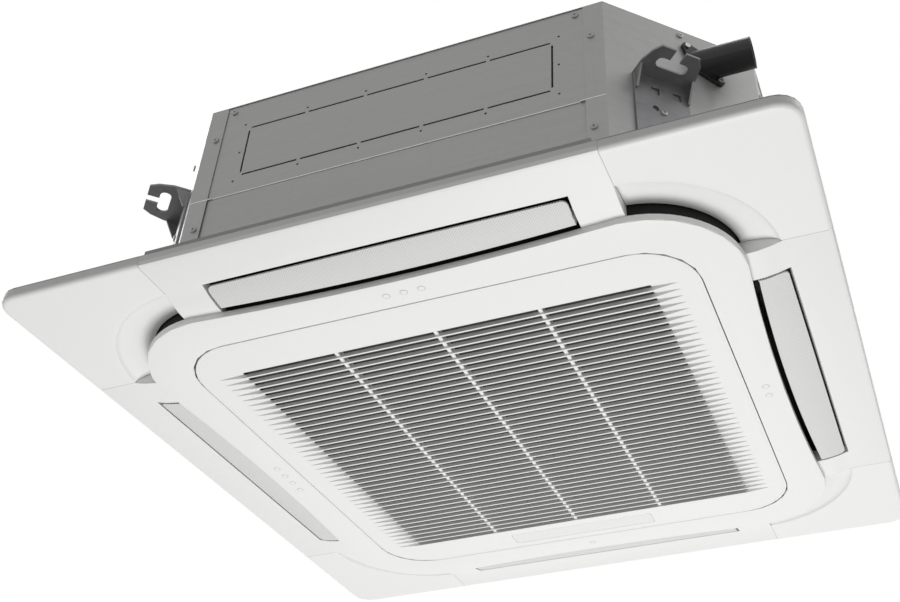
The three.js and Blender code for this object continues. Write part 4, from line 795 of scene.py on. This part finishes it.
def scatter(name, points, source, finish, body, spin=0.0):
    """Geometry Nodes put a small source mesh on each point, turned along its direction."""
    mesh = bpy.data.meshes.new(name + "_points")
    mesh.from_pydata([tuple(p) for p, _ in points], [], [])
    facing = mesh.attributes.new("facing", "FLOAT_VECTOR", "POINT")
    facing.data.foreach_set("vector", [c for _, d in points for c in d])
    holder = new_object(name, mesh)
    tree = bpy.data.node_groups.new(name + "_tree", "GeometryNodeTree")
    make_socket = tree.interface.new_socket
    make_socket(name="Geometry", in_out="INPUT", socket_type="NodeSocketGeometry")
    inputs = {}
    values = (("Scale", FLOAT, 1.0), ("Turn", FLOAT, spin), ("Seed", "NodeSocketInt", SEED))
    for label, kind, value in values:
        socket = make_socket(name=label, in_out="INPUT", socket_type=kind)
        inputs[socket.identifier] = value
    make_socket(name="Geometry", in_out="OUTPUT", socket_type="NodeSocketGeometry")
    net = Net(tree)
    start, end = net.add("NodeGroupInput"), net.add("NodeGroupOutput")
    attribute = net.add("GeometryNodeInputNamedAttribute", data_type="FLOAT_VECTOR")
    attribute.inputs["Name"].default_value = "facing"
    align = net.add("FunctionNodeAlignRotationToVector", axis="Z")
    net.put(align.inputs["Vector"], attribute.outputs[0])
    turn = net.add("FunctionNodeRotateRotation", rotation_space="LOCAL")
    random = net.add("FunctionNodeRandomValue", data_type="FLOAT")
    net.put(random.inputs["Seed"], start.outputs["Seed"])
    combine = net.add("ShaderNodeCombineXYZ")
    lift = net.add("ShaderNodeMath", operation="MULTIPLY")
    net.put(lift.inputs[0], random.outputs[1])
    net.put(lift.inputs[1], start.outputs["Turn"])
    net.put(combine.inputs[2], lift.outputs[0])
    make = net.add("FunctionNodeEulerToRotation")
    net.put(make.inputs[0], combine.outputs[0])
    net.put(turn.inputs[0], align.outputs[0])
    net.put(turn.inputs[1], make.outputs[0])
    piece = net.add("GeometryNodeObjectInfo")
    piece.inputs["Object"].default_value = source
    spread = net.add("GeometryNodeInstanceOnPoints")
    net.put(spread.inputs["Points"], start.outputs["Geometry"])
    net.put(spread.inputs["Instance"], piece.outputs["Geometry"])
    net.put(spread.inputs["Rotation"], turn.outputs[0])
    net.put(spread.inputs["Scale"], start.outputs["Scale"])
    real = net.add("GeometryNodeRealizeInstances")
    net.put(real.inputs[0], spread.outputs[0])
    paint = net.add("GeometryNodeSetMaterial")
    net.put(paint.inputs["Geometry"], real.outputs[0])
    paint.inputs["Material"].default_value = FINISHES[finish]
    net.put(end.inputs[0], paint.outputs[0])
    modifier = holder.modifiers.new("spread", "NODES")
    modifier.node_group = tree
    for identifier, value in inputs.items():
        modifier[identifier] = value
    return plain(holder, source, finish, body)


def plain(holder, source, finish, body):
    """Turns what the modifier shows into a mesh of its own, and removes its source."""
    name = holder.name
    bpy.context.view_layer.update()
    shown = holder.evaluated_get(bpy.context.evaluated_depsgraph_get())
    mesh = bpy.data.meshes.new_from_object(shown)
    bpy.data.objects.remove(holder)
    bpy.data.objects.remove(source)
    piece = new_object(name, mesh)
    mesh.name = name
    return settle(piece, finish, body)


def outline_hit(angle, half, radius, centre):
    """Where a ray from a cove's centre meets the rounded outline of the panel."""
    c, s = math.cos(angle), math.sin(angle)
    if s > c:
        x, y = outline_hit(QUARTER - angle, half, radius, centre)
        return y, x
    t = (half - centre) / c
    y = centre + t * s
    if y <= half - radius:
        return half, y
    k = centre - (half - radius)
    b = k * (c + s)
    t = -b + math.sqrt(b * b - (2 * k * k - radius * radius))
    return centre + t * c, centre + t * s


def build_cover(corner):
    """A corner cover: flat plate, rounded rim and the cove that carries the outlet round."""
    size = sizes()
    centre = SEAM_AT - 0.0112
    columns = 48
    under = size.underside
    rows = []

    def arc_row(r, z):
        a0 = math.asin((SEAM_AT - centre) / r)
        row = []
        for i in range(columns + 1):
            a = a0 + (QUARTER - 2 * a0) * i / columns
            row.append((centre + r * math.cos(a), centre + r * math.sin(a), z))
        rows.append(row)

    def rim_row(inset, z):
        half, radius = size.panel_half - inset, size.panel_corner - inset
        a0 = math.atan2(SEAM_AT - centre, half - centre)
        row = []
        for i in range(columns + 1):
            a = a0 + (QUARTER - 2 * a0) * i / columns
            row.append((*outline_hit(a, half, radius, centre), z))
        rows.append(row)

    span = size.cove_outer - size.cove_inner
    for i in range(14, -1, -1):
        a = QUARTER * i / 14
        z = under + size.cove_rise * math.sin(a)
        arc_row(size.cove_outer - span * (1 - math.cos(a)), max(z, under + 0.0009) if i == 0 else z)
    arc_row(size.cove_outer + 0.0003, under + 0.0003)
    arc_row(size.cove_outer + 0.0010, under)
    arc_row(size.cove_outer + 0.008, under)
    rim_row(size.edge_round + 0.004, under)
    for i in range(7):
        a = QUARTER * i / 6
        rim_row(size.edge_round * (1 - math.sin(a)), under + size.edge_round * (1 - math.cos(a)))
    rim_row(0.0, -0.0008)
    bm = bmesh.new()
    loft(bm, rows, around=False)
    tidy_faces(bm)
    face_down(bm)
    turn_to(bm, CORNER_TURN[corner])
    cover = from_bmesh("cover_" + corner, bm, 40.0)
    thicken(cover, 0.0016)
    bevel(cover, 0.0003, 2, 50.0)
    settle(cover, "panel_white", "unit", ("corner_cover_" + corner,))


def build_covers():
    for corner in CORNERS:
        build_cover(corner)


def build_vane(side):
    """A bowed, perforated vane with its two pivot ears."""
    size = sizes()
    reach = size.ring_half - size.ring_corner
    under = size.underside
    half, edge, corner = size.vane_half, size.vane_outer, 0.007
    axis_u, axis_z = 0.386, -0.009  # where the vane's swing axis runs
    stations = [-half + corner * (1 - math.cos(QUARTER * i / 6)) for i in range(7)]
    middle = [(-half + corner) + (2 * (half - corner)) * i / 56 for i in range(1, 56)]
    stations = stations + middle + [-s for s in reversed(stations)]
    rows = []
    for s in stations:
        inner = size.ring_half + size.vane_gap - size.ring_bow * (1 - min(1, (s / reach) ** 2))
        over = max(0.0, abs(s) - (half - corner))
        outer = edge - corner + math.sqrt(max(0.0, corner * corner - over * over))
        row = []
        for k in range(15):
            u = inner + (outer - inner) * k / 14
            row.append((u, s, under - dip(u)))
        rows.append(row)
    bm = bmesh.new()
    loft(bm, rows, around=False)
    tidy_faces(bm)
    face_down(bm)
    turn_to(bm, SIDE_TURN[side])
    blade = from_bmesh("vane_blade_" + side, bm, 40.0)
    thicken(blade, size.vane_wall)
    bevel(blade, 0.0008, 3, 50.0)
    settle(blade, "vane_grey", f"vane_{side}_body", ("vane_" + side,))
    bm = bmesh.new()
    for end in (-1, 1):
        a, b = sorted((end * (half - 0.0045), end * half))
        add_box(bm, (axis_u - 0.005, a, -0.0195), (axis_u + 0.005, b, -0.004))
        inner, outer = end * (half - 0.002), end * (half + 0.010)
        add_rod(bm, (axis_u, inner, axis_z), (axis_u, outer, axis_z), 0.002)
    turn_to(bm, SIDE_TURN[side])
    ears = bevel(from_bmesh("vane_ears_" + side, bm), 0.0005)
    settle(ears, "inner_white", f"vane_{side}_body")


def build_vanes():
    for side in SIDES:
        build_vane(side)


# ---- Grille door -----------------------------------------------------------------------------
def build_door_rim():
    """The door's rounded border, true round over the faceted corners."""
    size = sizes()
    face = size.ring_face - 0.00005
    proud, soft, back, width = 0.0001, 0.0008, 0.0048, 0.004

    def row(offset, z):
        return at(square_loop(size.door_half + offset, size.door_corner + offset), z)

    rows = []
    for i in range(6):
        a = QUARTER * i / 5
        rows.append(row(proud - soft * (1 - math.sin(a)), face + soft * (1 - math.cos(a))))
    rows += [row(proud, face + back), row(-width, face + back), row(-width, face), rows[0]]
    collar("door_rim", rows, "panel_white", "grille")


def build_rib_blocks():
    """Short blocks where the three ribs cross the slots, set by Geometry Nodes."""
    size = sizes()
    points = []
    for rib in (-1, 0, 1):
        for i in range(SLOT_COUNT):
            y = (i - SLOT_COUNT // 2) * size.slot_pitch
            points.append((Vector((rib * RIB_AT, y, -0.0255)), Vector((0, 0, -1))))
    bm = bmesh.new()
    wide = (size.slot_pitch - size.slat) / 2 + 0.0002
    add_box(bm, (-0.0026, -wide, -0.0004), (0.0026, wide, 0.0022))
    bmesh.ops.bevel(bm, geom=bm.edges[:], offset=0.0004, segments=2, affect="EDGES")
    block = from_bmesh("block_source", bm)
    scatter("rib_blocks", points, block, "panel_white", "grille")


def build_door():
    build_door_rim()
    build_rib_blocks()
    for node, finish, width in (
        ("grille_door", "panel_white", 0.0004),
        ("display_window", "display_smoke", 0.0003),
        ("display_board", "board_green", 0.0002),
        ("air_filter", "filter_net", 0.0003),
    ):
        dressed(node, finish, "grille", width)
    for side in ("left", "right"):
        dressed("hinge_pin_" + side, "screw_steel", "unit", 0.0002)


# ---- Casing ----------------------------------------------------------------------------------
def sheet_screws():
    """Places and directions of the sheet screws on sides and chamfers."""
    proud = 0.0002
    spots = []

    def put(angle, away, along, z):
        turn = Matrix.Rotation(angle, 3, "Z")
        spots.append((turn @ Vector((away + proud, along, z)), turn @ Vector((1, 0, 0))))

    for i in range(4):
        side, chamfer = QUARTER * i, QUARTER * i + math.pi / 4
        for along in (-0.235, 0.235):
            put(side, SHEET_AT, along, 0.275)
        for z in (0.078, 0.229):
            put(side, CASING_HALF, 0.254, z)
            put(side, CASING_HALF, -0.254, z)
        put(chamfer, CHAMFER, 0, 0.276)
        put(chamfer, CHAMFER + 0.0033, 0.03536 if i in (0, 2) else -0.03536, 0.1217)
    return spots


def build_casing():
    dressed("casing_top", "sheet_steel", width=0.0005)
    for side in SIDES:
        dressed("casing_side_" + side, "sheet_steel", width=0.0003)
    for corner in CORNERS:
        dressed("casing_corner_" + corner, "sheet_steel", width=0.0004)
    head = screw_head(sizes().screw + 0.0002, 0.0021)
    scatter("sheet_screws", sheet_screws(), head, "screw_dull", "unit", 1.5)
    # A dark sheet behind the knock-out slits is painted shade inside them.
    bm = bmesh.new()
    add_box(bm, (-0.215, -0.4174, 0.148), (0.215, -0.4170, 0.244))
    slit_shade = bevel(from_bmesh("knockout_backing", bm), 0.0001)
    settle(slit_shade, "outlet_black", "unit")
    # Bright strips along the lower edge of each side's upper sheet and on the corner flanges:
    # painted highlight where the edge catches light from below.
    low, high = BAND_TOP - 0.0004, BAND_TOP + 0.0009
    for side in SIDES:
        bm = bmesh.new()
        add_box(bm, (0.4180, -0.2380, low), (0.4188, 0.2380, high))
        add_box(bm, (0.4192, 0.2390, low), (0.4202, 0.2690, high))
        add_box(bm, (0.4192, -0.2690, low), (0.4202, -0.2390, high))
        turn_to(bm, SIDE_TURN[side])
        edge = bevel(from_bmesh("sheet_edge_" + side, bm), 0.0002)
        settle(edge, "cut_edge", "unit")


def build_hangers():
    for corner in CORNERS:
        dressed("hanger_" + corner, "bracket_steel", width=0.0006, segments=3)
        dressed("panel_bolt_" + corner, "screw_steel", width=0.0002)


def build_drain():
    dressed("drain_outlet", "black_plastic", width=0.0008, segments=3)
    for place in ("upper", "lower"):
        dressed("drain_screw_" + place, "screw_steel", width=0.0003)
    dressed("drain_pump", "inner_white", width=0.0004)
    dressed("drain_riser", "black_plastic", width=0.0004)
    dressed("drain_float", "inner_white", "float", 0.0004)


def build_inside():
    for node, finish, width in (
        ("casing_liner", "foam_white", 0.001),
        ("drain_pan", "foam_black", 0.001),
        ("coil", "coil_fins", 0.0003),
        ("coil_end_plate_liquid", "sheet_steel", 0.0002),
        ("coil_end_plate_gas", "sheet_steel", 0.0002),
        ("liquid_pipe", "copper_pipe", 0.0002),
        ("gas_pipe", "copper_pipe", 0.0002),
        ("liquid_flare_nut", "brass_nut", 0.0004),
        ("gas_flare_nut", "brass_nut", 0.0004),
        ("bellmouth", "black_plastic", 0.0005),
        ("fan_motor", "motor_steel", 0.0006),
        ("control_box", "sheet_steel", 0.0003),
        ("control_lid", "sheet_steel", 0.0003),
        ("control_board", "board_green", 0.0002),
    ):
        dressed(node, finish, width=width)
    dressed("turbo_fan", "fan_plastic", "fan", 0.0005)
    dressed("fan_nut", "screw_steel", "fan", 0.0004)
    dressed("motor_shaft", "screw_steel", "fan", 0.0003)
    for side in SIDES:
        dressed("vane_motor_" + side, "inner_white", width=0.0004)


def build_panel():
    dressed("panel_frame", "panel_white", width=0.0004)
    dressed("ceiling_seal", "seal_foam", width=0.0006)
    build_ring()
    build_painted_duct_shade()
    build_gaps()
    build_dots()


# ---- Studio ----------------------------------------------------------------------------------
def lamp(name, place, aim, size, share):
    """An area lamp that lights a surface facing it, at its aim, by the share of full white."""
    data = bpy.data.lights.new(name, "AREA")
    data.shape = "SQUARE"
    data.size = size
    away = Vector(place) - Vector(aim)
    data.energy = share * math.pi**2 * away.length_squared
    holder = new_object(name, data)
    holder.location = place
    holder.rotation_euler = away.to_track_quat("Z", "Y").to_euler()
    holder.visible_camera = False
    return holder


def build_world():
    world = bpy.data.worlds.new("studio")
    bpy.context.scene.world = world
    world.use_nodes = True
    net = Net(world.node_tree)
    net.tree.nodes.clear()
    path = net.add("ShaderNodeLightPath")
    shown = net.maths("MAXIMUM", path.outputs["Is Camera Ray"], path.outputs["Is Transmission Ray"])
    shown = net.maths("MAXIMUM", shown, path.outputs["Is Glossy Ray"])
    soft = net.add("ShaderNodeBackground")
    soft.inputs["Color"].default_value = (1, 1, 1, 1)
    soft.inputs["Strength"].default_value = 0.25
    white = net.add("ShaderNodeBackground")
    white.inputs["Color"].default_value = (1, 1, 1, 1)
    white.inputs["Strength"].default_value = 1.0
    mix = net.add("ShaderNodeMixShader")
    net.put(mix.inputs[0], shown)
    net.put(mix.inputs[1], soft.outputs[0])
    net.put(mix.inputs[2], white.outputs[0])
    net.put(net.add("ShaderNodeOutputWorld").inputs["Surface"], mix.outputs[0])


def build_stage():
    build_world()
    bm = bmesh.new()
    bmesh.ops.create_grid(bm, x_segments=8, y_segments=8, size=6.0)
    bmesh.ops.translate(bm, verts=bm.verts, vec=(0, 0, -2.7))
    floor = from_bmesh("studio_floor", bm, smooth=False)
    material, net, shader = bare("studio_floor")
    tone = (*colours().floor, 1)
    grain = use(net, "grain", Color=tone, Fine_scale=60.0, Drift=0.02, Roughness=0.8)
    net.put(shader.inputs["Base Color"], grain.outputs["Color"])
    net.put(shader.inputs["Roughness"], grain.outputs["Roughness"])
    floor.data.materials.append(material)
    lamp("lamp_below", (0.1, 0.35, -2.4), (0, 0, 0), 1.4, 0.72)
    lamp("lamp_right", (2.5, 0.3, 1.7), (0, 0, 0.1), 1.2, 0.17)
    lamp("lamp_left", (-2.4, 0.4, 1.9), (0, 0, 0.1), 1.2, 0.24)
    lamp("lamp_far", (0.0, 2.5, 1.6), (0, 0, 0.1), 1.2, 0.28)
    lamp("lamp_above", (0.2, 0.9, 3.0), (0, 0, 0.3), 1.4, 0.5)
    data = bpy.data.cameras.new("camera")
    data.lens = 45.57
    data.sensor_width = 36.0
    data.shift_x = -0.103
    data.shift_y = -0.042
    camera = new_object("camera", data)
    across = (0.93987, 0.34154, 0)
    up = (0.21381, -0.58827, 0.77989)
    back = (0.26634, -0.73300, -0.62592)
    turn = Matrix((across, up, back)).transposed().to_4x4()
    camera.matrix_world = Matrix.Translation((0.4995, -1.2600, -0.8134)) @ turn
    scene = bpy.context.scene
    scene.camera = camera
    scene.view_settings.view_transform = "Standard"


# ---- Operators -------------------------------------------------------------------------------
class CASSETTE_OT_finishes(bpy.types.Operator):
    """Makes the shader groups and the materials of every finish"""

    bl_idname = "cassette.finishes"
    bl_label = "Finishes"

    def execute(self, context):
        build_finishes()
        return {"FINISHED"}


class CASSETTE_OT_stage(bpy.types.Operator):
    """Sets the floor, the lamps, the world and the camera"""

    bl_idname = "cassette.stage"
    bl_label = "Stage"

    def execute(self, context):
        build_stage()
        return {"FINISHED"}


class CASSETTE_OT_panel(bpy.types.Operator):
    """Makes the panel frame, its inlet ring, the numbering dots and the ceiling seal"""

    bl_idname = "cassette.panel"
    bl_label = "Panel frame"

    def execute(self, context):
        build_panel()
        return {"FINISHED"}


class CASSETTE_OT_covers(bpy.types.Operator):
    """Makes the four corner covers"""

    bl_idname = "cassette.covers"
    bl_label = "Corner covers"

    def execute(self, context):
        build_covers()
        return {"FINISHED"}


class CASSETTE_OT_vanes(bpy.types.Operator):
    """Makes the four perforated vanes"""

    bl_idname = "cassette.vanes"
    bl_label = "Vanes"

    def execute(self, context):
        build_vanes()
        return {"FINISHED"}


class CASSETTE_OT_door(bpy.types.Operator):
    """Makes the intake grille door with its window and filter"""

    bl_idname = "cassette.door"
    bl_label = "Grille door"

    def execute(self, context):
        build_door()
        return {"FINISHED"}


class CASSETTE_OT_casing(bpy.types.Operator):
    """Makes the galvanised casing with its screws"""

    bl_idname = "cassette.casing"
    bl_label = "Casing"

    def execute(self, context):
        build_casing()
        return {"FINISHED"}


class CASSETTE_OT_hangers(bpy.types.Operator):
    """Makes the hanger brackets and the panel bolts"""

    bl_idname = "cassette.hangers"
    bl_label = "Hanger brackets"

    def execute(self, context):
        build_hangers()
        return {"FINISHED"}


class CASSETTE_OT_drain(bpy.types.Operator):
    """Makes the drain outlet, pump, riser and float"""

    bl_idname = "cassette.drain"
    bl_label = "Drain"

    def execute(self, context):
        build_drain()
        return {"FINISHED"}


class CASSETTE_OT_inside(bpy.types.Operator):
    """Makes the coil, fan, motor, liner, pan and control box"""

    bl_idname = "cassette.inside"
    bl_label = "Inside"

    def execute(self, context):
        build_inside()
        return {"FINISHED"}


OPERATORS = (
    CASSETTE_OT_finishes,
    CASSETTE_OT_stage,
    CASSETTE_OT_panel,
    CASSETTE_OT_covers,
    CASSETTE_OT_vanes,
    CASSETTE_OT_door,
    CASSETTE_OT_casing,
    CASSETTE_OT_hangers,
    CASSETTE_OT_drain,
    CASSETTE_OT_inside,
)


class CASSETTE_PT_panel(bpy.types.Panel):
    """Lists the pieces of the cassette"""

    bl_label = "Ceiling cassette"
    bl_idname = "CASSETTE_PT_panel"
    bl_space_type = "VIEW_3D"
    bl_region_type = "UI"
    bl_category = "Cassette"

    def draw(self, context):
        for operator in OPERATORS:
            self.layout.operator(operator.bl_idname)


CLASSES = (CassetteSizes, CassetteColours, *OPERATORS, CASSETTE_PT_panel)


def register():
    for item in CLASSES:
        bpy.utils.register_class(item)
    bpy.types.Scene.cassette_sizes = bpy.props.PointerProperty(type=CassetteSizes)
    bpy.types.Scene.cassette_colours = bpy.props.PointerProperty(type=CassetteColours)


def unregister():
    del bpy.types.Scene.cassette_colours
    del bpy.types.Scene.cassette_sizes
    for item in reversed(CLASSES):
        bpy.utils.unregister_class(item)


def main():
    register()
    bpy.ops.cassette.finishes()
    bpy.ops.cassette.stage()
    bpy.ops.cassette.panel()
    bpy.ops.cassette.covers()
    bpy.ops.cassette.vanes()
    bpy.ops.cassette.door()
    bpy.ops.cassette.casing()
    bpy.ops.cassette.hangers()
    bpy.ops.cassette.drain()
    bpy.ops.cassette.inside()


if __name__ == "__main__":
    main()
